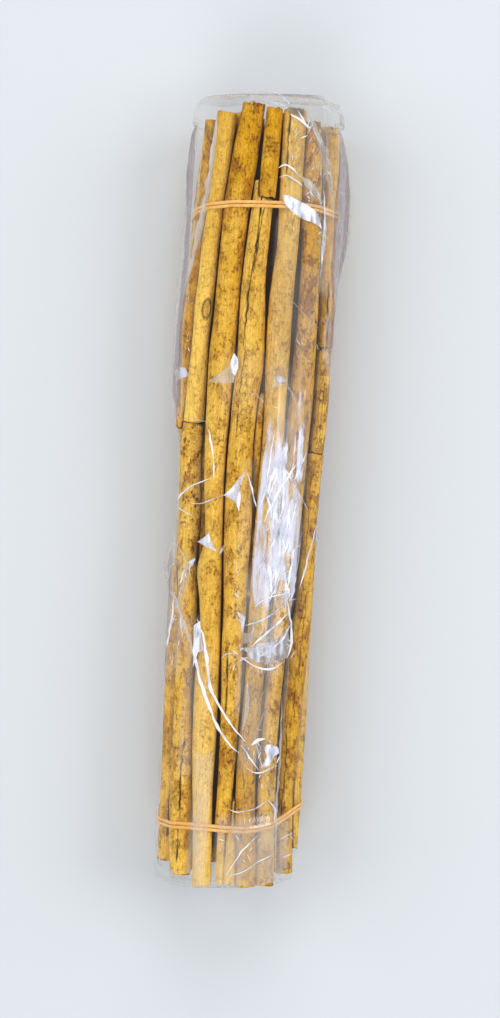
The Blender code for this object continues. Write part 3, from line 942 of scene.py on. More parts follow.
@dataclass
class Roller:
    """Makes quills out of routes: sweeps them, splits them and finishes their ends."""

    bark: bpy.types.Material
    tree: bpy.types.NodeTree
    spacing: float = 0.0012
    columns: int = 72
    wall: float = 0.0010
    mouth_depth: float = 0.012
    warp_reach: float = 0.014
    slant: float = 0.0032
    ragged: float = 0.0026
    uneven: float = 0.0005
    scroll_thickness: float = 0.00055
    wander: LatticeNoise = field(default_factory=lambda: LatticeNoise(11))

    def roll(self, quill: Quill, route: Route, seed: int, spacing: float | None = None,
             columns: int | None = None) -> bpy.types.Object:
        """Makes one quill.

        Args:
            quill: what shows on it.
            route: where it runs.
            seed: seed of its lumps and fibres.
            spacing: run between its rings, if not the usual one.
            columns: points on a ring, if not the usual number.

        Returns:
            The quill as a plain mesh object.
        """
        columns = columns or self.columns
        line = np.stack((route.across, route.station, route.height), axis=1)
        values = {"Spacing": spacing or self.spacing, "Columns": columns, "Seed": 1.7 * seed, "Bark": self.bark}
        source = run_tree("route", [line], self.tree, values, {"radius": [route.radius]})
        grid = evaluated_points(source).reshape(-1, columns, 3)
        length = np.concatenate(([0.0], np.cumsum(np.linalg.norm(np.diff(line, axis=0), axis=1))))
        at = np.linspace(0, length[-1], len(grid))
        centre = np.stack([np.interp(at, length, line[:, k]) for k in range(3)], axis=1)
        radius = np.interp(at, length, route.radius)
        grid, dark = self.split(quill, grid, centre, radius, seed)
        grid = self.warp_ends(quill, grid, centre, seed)
        return self.close(quill, grid, centre, radius, dark, seed)

    def split(self, quill: Quill, grid: np.ndarray, centre: np.ndarray, radius: np.ndarray,
              seed: int) -> tuple[np.ndarray, np.ndarray]:
        """Cuts the cracks and raises the knots.

        Args:
            quill: what shows on the quill.
            grid: its points, ring by ring.
            centre: each ring's centre.
            radius: each ring's radius.
            seed: seed of the cracks' wandering.

        Returns:
            The new points and how dark each is.
        """
        out = grid - centre[:, None, :]
        turn = np.arctan2(out[..., 0], out[..., 2])
        station = grid[..., 1] / MM
        size = radius[:, None] / MM
        rise, dark = np.zeros(turn.shape), np.zeros(turn.shape)
        for number, crack in enumerate(quill.cracks):
            places = [row[0] for row in crack.path]
            middle = np.arcsin(np.clip(smooth(crack.path, station), -0.95, 0.95))
            shake = self.wander.at(station / 3.1 + 7 * number, seed + 0 * station)
            across = size * (turn - middle) + 0.45 * shake
            fade = ease((places[0] - station) / 6 + 1) * ease((station - places[-1]) / 6 + 1)
            wide = crack.width * (0.75 + 0.5 * self.wander.at(station / 5.3, seed + 31 + 0 * station))
            mask = np.exp(-((across / np.maximum(wide, 0.1)) ** 2)) * fade
            lip = np.exp(-(((np.abs(across) - 1.6 * wide) / 0.6) ** 2)) * fade
            rise += 0.12 * lip - crack.depth * mask
            dark = np.maximum(dark, np.minimum(1.15 * mask, 1.0))
        for knot in quill.knots:
            middle = math.asin(knot.share)
            ring = np.hypot(2 * size * (turn - middle) / knot.width, 2 * (station - knot.station) / knot.length)
            ring += 0.12 * self.wander.at(4 * turn + seed, station / 2.5)
            hollow = 1 - ease((ring - 0.55) / 0.4)
            rise += knot.rim * np.exp(-(((ring - 1.15) / 0.28) ** 2)) - 0.9 * knot.rim * hollow
            # The knot's ring is partly the scar's own dark colour, partly painted shade that grows towards its right
            # side.
            edge = np.exp(-(((ring - 0.92) / 0.17) ** 2)) * (0.75 + 0.4 * ease(1.5 * (turn - middle) * size / knot.width))
            grain = 0.5 + 0.5 * self.wander.at(9 * turn, station / 2.2)
            dark = np.maximum(dark, np.clip(0.5 * grain * hollow + edge, 0, 0.96))
        for number, line in enumerate(quill.wrinkles):
            share = np.sin(turn)
            middle = line.station + 0.7 * self.wander.at(3 * turn + 5 * number, seed + 0 * station)
            mask = np.exp(-(((station - middle) / line.width) ** 2)) * (np.cos(turn) > 0)
            mask *= ease((share - line.share_from) / 0.12 + 1) * ease((line.share_to - share) / 0.12 + 1)
            rise -= 0.35 * line.depth * mask
            dark = np.maximum(dark, line.depth * mask)
        scale = 1 + rise * MM / np.linalg.norm(out, axis=-1)
        return centre[:, None, :] + out * scale[..., None], dark

    def warp_ends(self, quill: Quill, grid: np.ndarray, centre: np.ndarray, seed: int) -> np.ndarray:
        """Makes the ends uneven, ragged or slanted.

        Args:
            quill: which ends it has.
            grid: its points, ring by ring.
            centre: each ring's centre.
            seed: seed of the unevenness.

        Returns:
            The new points.
        """
        out = grid - centre[:, None, :]
        turn = np.arctan2(out[..., 0], out[..., 2])
        shifted = grid.copy()
        for end, ring, side in ((quill.head, 0, 1), (quill.foot, -1, -1)):
            near = np.clip(1 - np.abs(grid[..., 1] - centre[ring, 1]) / self.warp_reach, 0, 1)
            jag = self.wander.at(5 * turn / math.pi, seed + side + 0 * turn)
            fine = self.wander.at(17 * turn / math.pi, seed + 5 * side + 0 * turn)
            back = self.uneven * (1 + jag)
            if end is End.TORN:
                back = self.ragged * (0.5 + 0.5 * jag) + 0.4 * self.ragged * (0.5 + 0.5 * fine)
            elif end is End.POINTED:
                tip = math.asin(quill.point)
                back = self.slant * (1 - np.cos(turn - tip)) + 0.3 * self.ragged * (1 + fine)
            shifted[..., 1] -= side * back * near
        return shifted

    def mouth(self, end: End, ring: np.ndarray, centre: np.ndarray, radius: float,
              inward: float) -> tuple[list[np.ndarray], list[float], list[float]]:
        """Rings from the rim into the hollow.

        Args:
            end: how the quill ends.
            ring: the last ring of the outside.
            centre: its centre.
            radius: its radius.
            inward: direction along Y into the quill.

        Returns:
            The rings, how dark each is, which is painted shade deepening into the hollow, and how far inside the roll
            each is.
        """
        out = ring - centre
        along = np.array((0.0, inward, 0.0))
        if end is End.TUCKED:
            # Painted shade, darker towards the middle of the closed end.
            rings = [centre + out * share + along * -radius * (1 - share) * 0.4 for share in (0.85, 0.5, 0.15)]
            return rings, [0.2, 0.4, 0.5], [0.5, 0.8, 1.0]
        inner = 1 - self.wall / radius
        # The third number of each step is painted shade, darker deeper in the hollow.
        steps = ((1 - 0.35 * self.wall / radius, -0.00018, 0.0, 0.25), (1 - 0.75 * self.wall / radius, -0.00014, 0, 0.6),
                 (inner, 0.0003, 0.1, 0.9), (inner, 0.002, 0.3, 1.0), (inner, 0.006, 0.7, 1.0),
                 (0.95 * inner, self.mouth_depth, 0.95, 1.0), (0.4 * inner, self.mouth_depth, 1.0, 1.0))
        rings = [centre + out * share + along * depth for share, depth, _, _ in steps]
        return rings, [step[2] for step in steps], [step[3] for step in steps]

    def close(self, quill: Quill, grid: np.ndarray, centre: np.ndarray, radius: np.ndarray,
              dark: np.ndarray, seed: int) -> bpy.types.Object:
        """Adds both mouths and the rolled layers in them, and makes the object.

        Args:
            quill: which ends it has and its colours.
            grid: its points, ring by ring.
            centre: each ring's centre.
            radius: each ring's radius.
            dark: how dark each point is.
            seed: seed of its layers.

        Returns:
            The finished object.
        """
        columns = grid.shape[1]
        draw = np.random.default_rng(900 + seed)
        head = self.mouth(quill.head, grid[0], centre[0], radius[0], -1.0)
        foot = self.mouth(quill.foot, grid[-1], centre[-1], radius[-1], 1.0)
        rings = head[0][::-1] + list(grid) + foot[0]
        points = np.concatenate([*rings, rings[0].mean(0)[None], rings[-1].mean(0)[None]])
        one = np.ones(columns)
        darks = [value * one for value in head[1][::-1]] + list(dark) + [value * one for value in foot[1]]
        inners = [value * one for value in head[2][::-1]] + [0 * one] * len(grid) + [v * one for v in foot[2]]
        # The two middle points of the ends are painted fully dark: shade deep in the hollow.
        darks, inners = np.concatenate([*darks, [1.0, 1.0]]), np.concatenate([*inners, [1.0, 1.0]])
        faces = tube_faces(len(rings), columns)
        first, last, edge = len(points) - 2, len(points) - 1, (len(rings) - 1) * columns
        for j in range(columns):
            after = (j + 1) % columns
            faces.append((first, after, j))
            faces.append((last, edge + j, edge + after))
        points, faces = outward(points, faces)
        for end, k, inward in ((quill.head, 0, -1.0), (quill.foot, -1, 1.0)):
            if end in (End.TUCKED, End.SOCKET) or radius[k] < 0.0028:
                continue
            turns, start = draw.uniform(0.9, 1.35), draw.uniform(-math.pi, math.pi)
            for twin in range(2 if radius[k] > 0.0042 else 1):
                sheet, sides = self.scroll(centre[k], radius[k], start + 0.35 * (2 * twin - 1),
                                           (2 * twin - 1) * turns, inward * draw.uniform(0.0004, 0.0016), inward)
                faces += [tuple(v + len(points) for v in side) for side in sides]
                points = np.concatenate((points, sheet))
                # Painted shade: a layer's edge stays light, its back deep in the mouth is painted dark.
                darks = np.concatenate((darks, np.tile((0.12, 0.9), len(sheet) // 2)))
                inners = np.concatenate((inners, np.full(len(sheet), 0.85)))
        along = (centre[0, 1] - points[:, 1]) / (centre[0, 1] - centre[-1, 1])
        fields = {"dark": darks, "inner": inners, "shift": np.full(len(points), draw.uniform(0.5, 3.5)),
                  "tone": np.interp(along, (0, 1), quill.tones),
                  "mottle": np.interp(along, (0, 0.35, 1), (quill.mottles[0], np.mean(quill.mottles), quill.mottles[1]))}
        return mesh_piece(quill.name, points, faces, self.bark, fields)

    def scroll(self, centre: np.ndarray, radius: float, start: float, turns: float, inset: float,
               inward: float) -> tuple[np.ndarray, list]:
        """One rolled layer inside a mouth, as a closed thin wall.

        Args:
            centre: the mouth's centre.
            radius: the quill's radius.
            start: angle at which the layer leaves the wall.
            turns: how far it rolls, negative for the other way.
            inset: how far its edge lies behind the rim, along Y.
            inward: direction along Y into the quill.

        Returns:
            Its points, edge and back by turns, and its faces.
        """
        count = 30
        t = np.linspace(0, 1, count)
        angle = start + 2 * math.pi * turns * t
        reach = (radius - 1.15 * self.wall) * (1 - 0.68 * t)
        loop = []
        for side, order in ((0.5, slice(None)), (-0.5, slice(None, None, -1))):
            away = (reach + side * self.scroll_thickness)[order]
            loop += [(r * math.sin(a), r * math.cos(a)) for r, a in zip(away, angle[order])]
        points = []
        for x, z in loop:
            for depth in (inset, inset + inward * 0.8 * self.mouth_depth):
                points.append((centre[0] + x, centre[1] + depth, centre[2] + z))
        number = 2 * count
        faces = []
        for j in range(number):
            after = (j + 1) % number
            faces.append((2 * j, 2 * after, 2 * after + 1, 2 * j + 1))
        for j in range(count - 1):
            k = number - 1 - j
            faces.append((2 * j, 2 * k, 2 * (k - 1), 2 * (j + 1)))
            faces.append((2 * j + 1, 2 * (j + 1) + 1, 2 * (k - 1) + 1, 2 * k + 1))
        return outward(np.array(points), faces)


def outward(points: np.ndarray, faces: list) -> tuple[np.ndarray, list]:
    """Turns a closed surface's faces outwards.

    Args:
        points: its points.
        faces: its faces, all turned the same way.

    Returns:
        The points, and the faces pointing out.
    """
    middle = points.mean(axis=0)
    corners = np.array([face[:3] for face in faces] + [(f[0], f[2], f[3]) for f in faces if len(f) == 4])
    a, b, c = (points[corners[:, k]] - middle for k in range(3))
    volume = np.einsum("ij,ij->i", a, np.cross(b, c)).sum()
    return points, faces if volume > 0 else [face[::-1] for face in faces]


@dataclass
class QuillBundle:
    """Every quill of the bundle, and the core that they lie round, painted dark as the shade among the inner quills."""

    form: BundleForm
    roller: Roller
    step: float = 0.004
    closeness: float = 0.97
    tucked_closeness: float = 0.88
    same_lane: float = 0.0035
    settle_blur: float = 2.5
    outer_blur: float = 9.0
    outer_from: float = 0.031
    lower_radii: tuple[float, ...] = (5.6, 6.3, 5.2, 6.6, 5.8, 6.1, 5.4, 6.4, 5.7)
    lower_spread: tuple[Row, ...] = ((0.216, 80, 279), (0.030, 82, 279), (-0.100, 92, 279), (-0.216, 92, 277))
    lower_head: float = 0.2150
    lower_foot: float = -0.2165
    lower_uneven: float = 0.0025
    floor_gap: float = 0.0006
    core_half_length: float = 0.186
    core_inset: float = 0.0118
    stub_from: float = 0.170
    stub_inset: float = 0.0172
    routes: list[Route] = field(default_factory=list)

    def settle(self) -> list[Route]:
        """Lets the upper quills lie against the film and against each other.

        Returns:
            The route of each upper quill.
        """
        stations = np.arange(0.232, -0.234, -self.step)
        spans = []
        for quill in UPPER_QUILLS:
            rows = tuple(tuple(value * MM for value in row) for row in quill.rows)
            inside = (stations < rows[0][0] - self.step / 2) & (stations > rows[-1][0] + self.step / 2)
            places = np.concatenate(([rows[0][0]], stations[inside], [rows[-1][0]]))
            spans.append((places, smooth(rows, places, 1), smooth(rows, places, 2)))
        heights = [self.form.crest(*span) for span in spans]
        pivot = -0.002
        for k, station in enumerate(stations):
            here = []
            for number, (quill, (places, across, radius)) in enumerate(zip(UPPER_QUILLS, spans)):
                if places[-1] <= station <= places[0]:
                    at = int(np.argmin(np.abs(places - station)))
                    here.append((quill.tucked, abs(across[at] - pivot), number, at))
            done = []
            for tucked, _, number, at in sorted(here):
                x, r, z = spans[number][1][at], spans[number][2][at], heights[number][at]
                beside = [d for d in done if (d[0] - pivot) * (x - pivot) > 0 and abs(d[0] - x) > self.same_lane]
                share = self.tucked_closeness if tucked else self.closeness
                for x0, r0, z0 in (done if tucked else beside[-1:]):
                    room = (share * (r + r0)) ** 2 - (x - x0) ** 2
                    if room > 0:
                        z = min(z, z0 - math.sqrt(room))
                heights[number][at] = z
                if not tucked:
                    done.append((x, r, z))
        routes = []
        for quill, (places, across, radius), height in zip(UPPER_QUILLS, spans, heights):
            outer = abs(across.mean()) > self.outer_from
            height = blurred(height, self.outer_blur if outer else self.settle_blur, 0)
            if quill.sunk:
                height = height - smooth(quill.sunk, places / MM) * MM
            routes.append(Route(places, across, height, radius))
        return routes

    def lower_route(self, number: int) -> Route:
        """Route of a quill of the sides and underside.

        Args:
            number: which one, from the right side round underneath.

        Returns:
            Its route.
        """
        radius = self.lower_radii[number] * MM
        station = np.linspace(self.lower_head + self.lower_uneven * math.sin(2.3 * number),
                              self.lower_foot + self.lower_uneven * math.cos(1.7 * number), 70)
        first, last = smooth(self.lower_spread, station, 1), smooth(self.lower_spread, station, 2)
        angle = np.radians(first + (last - first) * (number + 0.5) / len(self.lower_radii))
        place = self.form.ring_place(station, angle, radius)
        height = np.maximum(place[:, 1], radius + self.floor_gap)
        return Route(station, place[:, 0], height, np.full(len(station), radius))

    def stub_routes(self, side: int) -> list[Route]:
        """Routes of the inner quills' ends, which come out of the core.

        Args:
            side: 1 for the head, -1 for the foot.

        Returns:
            The routes, from head to foot.
        """
        draw = np.random.default_rng(50 + side)
        routes = []
        spots = [(k * 2 * math.pi / 11 + 0.2, self.stub_inset) for k in range(11)]
        spots += [(k * 2 * math.pi / 5 + 0.5, 0.0275) for k in range(5)]
        for angle, inset in spots:
            end = side * draw.uniform(0.207, 0.2185)
            station = np.linspace(max(end, side * self.stub_from), min(end, side * self.stub_from), 14)
            place = self.form.ring_place(station, np.full(14, angle), inset)
            routes.append(Route(station, place[:, 0], place[:, 1], np.full(14, draw.uniform(4.9, 6.0) * MM)))
        return routes

    def build(self) -> list[bpy.types.Object]:
        """Makes all the quills and the core.

        Returns:
            The pieces.
        """
        pieces = []
        self.routes = self.settle()
        for number, (quill, route) in enumerate(zip(UPPER_QUILLS, self.routes)):
            pieces.append(self.roller.roll(quill, route, number + 1))
        draw = np.random.default_rng(4)
        for number in range(len(self.lower_radii)):
            tones, mottles = tuple(draw.uniform(0.2, 0.8, 2)), tuple(draw.uniform(0.3, 0.9, 2))
            cracks = (Crack(tuple((s, draw.uniform(-0.9, 0.9)) for s in (150, 90, 20))),)
            quill = Quill(f"quill_lower_{number + 1}", (), tones=tones, mottles=mottles, cracks=cracks)
            self.routes.append(self.lower_route(number))
            pieces.append(self.roller.roll(quill, self.routes[-1], 40 + number, 0.002, 36))
        for side, word in ((1, "head"), (-1, "foot")):
            stubs = []
            for number, route in enumerate(self.stub_routes(side)):
                ends = {"foot" if side > 0 else "head": End.TUCKED}
                tones, mottles = tuple(draw.uniform(0.2, 0.8, 2)), tuple(draw.uniform(0.3, 0.9, 2))
                quill = Quill(f"stub_{word}_{number}", (), tones=tones, mottles=mottles, **ends)
                stubs.append(self.roller.roll(quill, route, 70 + 20 * (side + 1) + number, 0.0025, 28))
            pieces.append(joined(f"quills_inner_{word}", stubs))
        pieces.append(self.core())
        return pieces

    def core(self) -> bpy.types.Object:
        """The inside of the bundle, ridged like the quills in it and painted dark as the shade deep between them.

        Returns:
            The core.
        """
        columns, count, lobes = 110, 120, 15
        station = np.linspace(self.core_half_length, -self.core_half_length, count)
        angle = np.linspace(-math.pi, math.pi, columns, endpoint=False)
        wander = LatticeNoise(23)
        rings = []
        for place in station:
            swing = 0.25 * wander.at(place / 0.07, np.array(0.5))
            ridge = 0.0016 * np.abs(np.cos(lobes * (angle + swing) / 2)) + 0.0004 * wander.at(angle * 6, place / 0.02)
            rings.append(self.form.ring_place(np.full(columns, place), angle, self.core_inset - ridge))
        grid = np.stack([np.stack((ring[:, 0], np.full(columns, place), ring[:, 1]), axis=1)
                         for ring, place in zip(rings, station)])
        caps = [grid[0] * (share, 1, share) + (0, 0.002 * (1 - share), self.form.axis * (1 - share))
                for share in (0.1, 0.5, 0.9)]
        ends = [grid[-1] * (share, 1, share) - (0, 0.002 * (1 - share), -self.form.axis * (1 - share))
                for share in (0.9, 0.5, 0.1)]
        rows = caps + list(grid) + ends
        points = np.concatenate([*rows, rows[0].mean(0)[None], rows[-1].mean(0)[None]])
        faces, edge = tube_faces(len(rows), columns), (len(rows) - 1) * columns
        for j in range(columns):
            after = (j + 1) % columns
            faces.append((len(points) - 2, after, j))
            faces.append((len(points) - 1, edge + j, edge + after))
        points, faces = outward(points, faces)
        size = len(points)
        # The core's dark value is painted shade.
        fields = {"tone": np.full(size, 0.9), "mottle": np.ones(size), "dark": np.full(size, 0.55),
                  "inner": np.zeros(size), "shift": np.full(size, 0.3)}
        return mesh_piece("core", points, faces, self.roller.bark, fields)


def joined(name: str, parts: list[bpy.types.Object]) -> bpy.types.Object:
    """Joins objects into one.

    Args:
        name: the new piece's name.
        parts: objects to join.

    Returns:
        The joined object.
    """
    with bpy.context.temp_override(active_object=parts[0], selected_editable_objects=parts):
        bpy.ops.object.join()
    parts[0].name = name
    parts[0].data.name = name
    return parts[0]


# --- Film -----------------------------------------------------------------------------------------
@dataclass
class TightHull:
    """The tightest wrap round the quills: how far it is from the middle, by station and angle."""

    form: BundleForm
    routes: list[Route]
    spacing: float = 0.00125
    columns: int = 232
    gap: float = 0.00035
    fade: float = 0.0035
    head: float = 0.2270
    foot: float = -0.2285
    fin_height: float = 0.031
    fin_radius: float = 0.0004
    fin_sharpness: float = 1.7
    # furrow and contact: the depth below the wrap and the gap to the next quill at which painted shade sets in
    furrow: float = 0.0075
    contact: float = 0.0012

    def __post_init__(self) -> None:
        """Works out the wrap."""
        count = int((self.head - self.foot) / self.spacing) + 1
        self.station = np.linspace(self.head, self.foot, count)
        self.angle = np.linspace(-math.pi, math.pi, self.columns, endpoint=False)
        self.centre = self.form.section(self.station)[0]
        self.bare = self.wrap(self.circles())
        self.touch = self.union()
        edges = [(smooth(self.form.film, self.station, k), self.fin_height + 0.004 * np.sin(self.station / 0.03 + k))
                 for k in (1, 2)]
        fins = [(x - self.centre, z - self.form.axis, np.full(count, self.fin_radius)) for x, z in edges]
        self.finned = self.wrap(self.circles() + fins)

    def circles(self) -> list[tuple[np.ndarray, np.ndarray, np.ndarray]]:
        """Section of each quill at each station, from the middle; its radius is negative past its ends."""
        found = []
        for route in self.routes:
            x, z, r = route.at(self.station)
            past = np.maximum(self.station - route.station[0], route.station[-1] - self.station)
            r = r - 0.045 * ease(past / self.fade) + self.gap
            found.append((x - self.centre, z - self.form.axis, r))
        return found

    def wrap(self, circles: list[tuple[np.ndarray, np.ndarray, np.ndarray]]) -> np.ndarray:
        """Convex wrap round circles.

        Args:
            circles: across, height and radius of each at each station.

        Returns:
            Distance of the wrap from the middle, by station and angle.
        """
        facing = np.linspace(-math.pi, math.pi, 360, endpoint=False)
        support = np.full((len(self.station), len(facing)), 0.004)
        for x, z, r in circles:
            here = x[:, None] * np.sin(facing) + z[:, None] * np.cos(facing) + r[:, None]
            support = np.maximum(support, here)
        reach = np.full((len(self.station), self.columns), 1.0)
        for k, angle in enumerate(self.angle):
            tilt = np.cos(facing - angle)
            use = tilt > 0.25
            reach[:, k] = (support[:, use] / tilt[use]).min(axis=1)
        return reach

    def union(self) -> np.ndarray:
        """Distance at which each direction leaves the quills themselves."""
        reach = np.zeros((len(self.station), self.columns))
        sine, cosine = np.sin(self.angle), np.cos(self.angle)
        for x, z, r in self.circles():
            along = x[:, None] * sine + z[:, None] * cosine
            aside = x[:, None] * cosine - z[:, None] * sine
            inside = np.maximum(r[:, None], 0) ** 2 - aside**2
            reach = np.maximum(reach, np.where(inside > 0, along + np.sqrt(np.maximum(inside, 0)), 0))
        return reach

    def reach(self, station: np.ndarray, angle: np.ndarray, table: np.ndarray | None = None) -> np.ndarray:
        """Reads a table of distances between its rows and columns.

        Args:
            station: places along the bundle.
            angle: directions from the top towards +X.
            table: distances by station and angle, the bare wrap's if not given.

        Returns:
            The distance at each place.
        """
        table = self.bare if table is None else table
        row = (self.head - np.asarray(station)) / (self.head - self.foot) * (len(self.station) - 1)
        row = np.clip(row, 0, len(self.station) - 1.001)
        column = (np.asarray(angle) + math.pi) / (2 * math.pi) * self.columns
        i, j = np.floor(row).astype(int), np.floor(column).astype(int)
        u, v = row - i, column - j
        j0, j1 = j % self.columns, (j + 1) % self.columns
        return ((table[i, j0] * (1 - v) + table[i, j1] * v) * (1 - u)
                + (table[i + 1, j0] * (1 - v) + table[i + 1, j1] * v) * u)


def shade_furrows(piece: bpy.types.Object, hull: TightHull) -> None:
    """Paints shade on the sides of a quill down in the furrows and next to other quills, where shadow falls.

    Args:
        piece: the quill.
        hull: the tight wrap, from which the depth is counted, and the routes of all the quills.
    """
    count = len(piece.data.vertices)
    points, dark = np.empty(3 * count), np.empty(count)
    piece.data.vertices.foreach_get("co", points)
    piece.data.attributes["dark"].data.foreach_get("value", dark)
    x, y, z = points.reshape(-1, 3).T
    gaps = []
    for route in hull.routes:
        across, height, radius = route.at(y)
        past = np.maximum(y - route.station[0], route.station[-1] - y)
        gaps.append(np.hypot(x - across, z - height) - radius + 9 * np.maximum(past, 0))
    second = np.sort(np.array(gaps), axis=0)[1]
    x, z = x - np.interp(y, hull.station[::-1], hull.centre[::-1]), z - hull.form.axis
    depth = hull.reach(y, np.arctan2(x, z)) - np.hypot(x, z)
    # Painted shade: near-black close to another quill and deep below the tight wrap.
    shadow = np.maximum(0.92 * ease((hull.contact - second) / (0.75 * hull.contact)),
                        0.97 * ease((depth - hull.furrow) / (0.4 * hull.furrow)))
    shadow *= 1 - ease((np.abs(y) - 0.205) / 0.012)
    piece.data.attributes["dark"].data.foreach_set("value", np.maximum(dark, shadow).astype(np.float32))


@dataclass(frozen=True)
class Crumple:
    """A crumpled spot of the film: place across and along, size and height, in millimetres, and how much painted
    highlight it carries (white).
    """

    across: float
    station: float
    half_width: float
    half_length: float
    height: float
    white: float = 0.0


@dataclass(frozen=True)
class Glare:
    """A soft oval patch of painted glare, as fine white streaks; across, station and half sizes in millimetres."""

    across: float
    station: float
    half_width: float
    half_length: float
    white: float


# Painted glare down the right of the middle: station, left edge, right edge and strength.
GLARE_BAND = (
    (54, 11, 14, 0.0), (42, 9.5, 16, 0.36), (30, 8.8, 18, 0.58), (18, 8.0, 21, 0.64), (8, 7.6, 24, 0.66),
    (0, 6.6, 31, 0.62), (-20, 4.8, 33, 0.64), (-45, 5.0, 33, 0.62), (-64, 7.5, 33.5, 0.52),
    (-70, 9.0, 33, 0.30), (-78, 8.0, 31, 0.14))


@dataclass(frozen=True)
class Crease:
    """A sharp pressed fold: its route seen from above and its width, in millimetres. Its white value is painted
    highlight together with the film's own whitening at the fold.
    """

    path: tuple[Row, ...]
    width: float = 0.9
    white: float = 0.8
    haze: float = 0.2


@dataclass(frozen=True)
class Flap:
    """A crumpled flap that lies on the film: its outline seen from above, in millimetres; its white value is painted
    reflection.
    """

    outline: tuple[Row, ...]
    white: float = 0.85
    lift: float = 0.5
    solid: float = 1.0


@dataclass(frozen=True)
class Veil:
    """A milky stretch of film: middle and half size seen from above, in millimetres."""

    across: float
    station: float
    half_width: float
    half_length: float
    haze: float
    soft: float = 4.0


CRUMPLES = (
    Crumple(-6, -3, 8, 13, 0.9), Crumple(-20, -32, 7, 6, 0.8), Crumple(18, -90, 15, 10, 1.3, 0.35),
    Crumple(17, -152, 11, 9, 1.1, 0.25), Crumple(24, -72, 8, 8, 0.9, 0.15), Crumple(34, 150, 5, 22, 1.0, 0.2),
    Crumple(22, 205, 14, 14, 1.2, 0.1), Crumple(40, 190, 7, 30, 1.2, 0.05), Crumple(-43, 70, 4, 10, 0.9, 0.2),
    Crumple(-44, 120, 4, 50, 0.8), Crumple(-42, -60, 4, 14, 0.9), Crumple(34, -20, 6, 40, 0.6),
    Crumple(20, -15, 12, 48, 0.35), Crumple(0, 222, 40, 8, 0.9), Crumple(0, -222, 40, 8, 0.7),
    Crumple(28, -205, 14, 20, 0.8), Crumple(-33, -75, 8, 20, 0.5), Crumple(10, 65, 8, 8, 0.4))

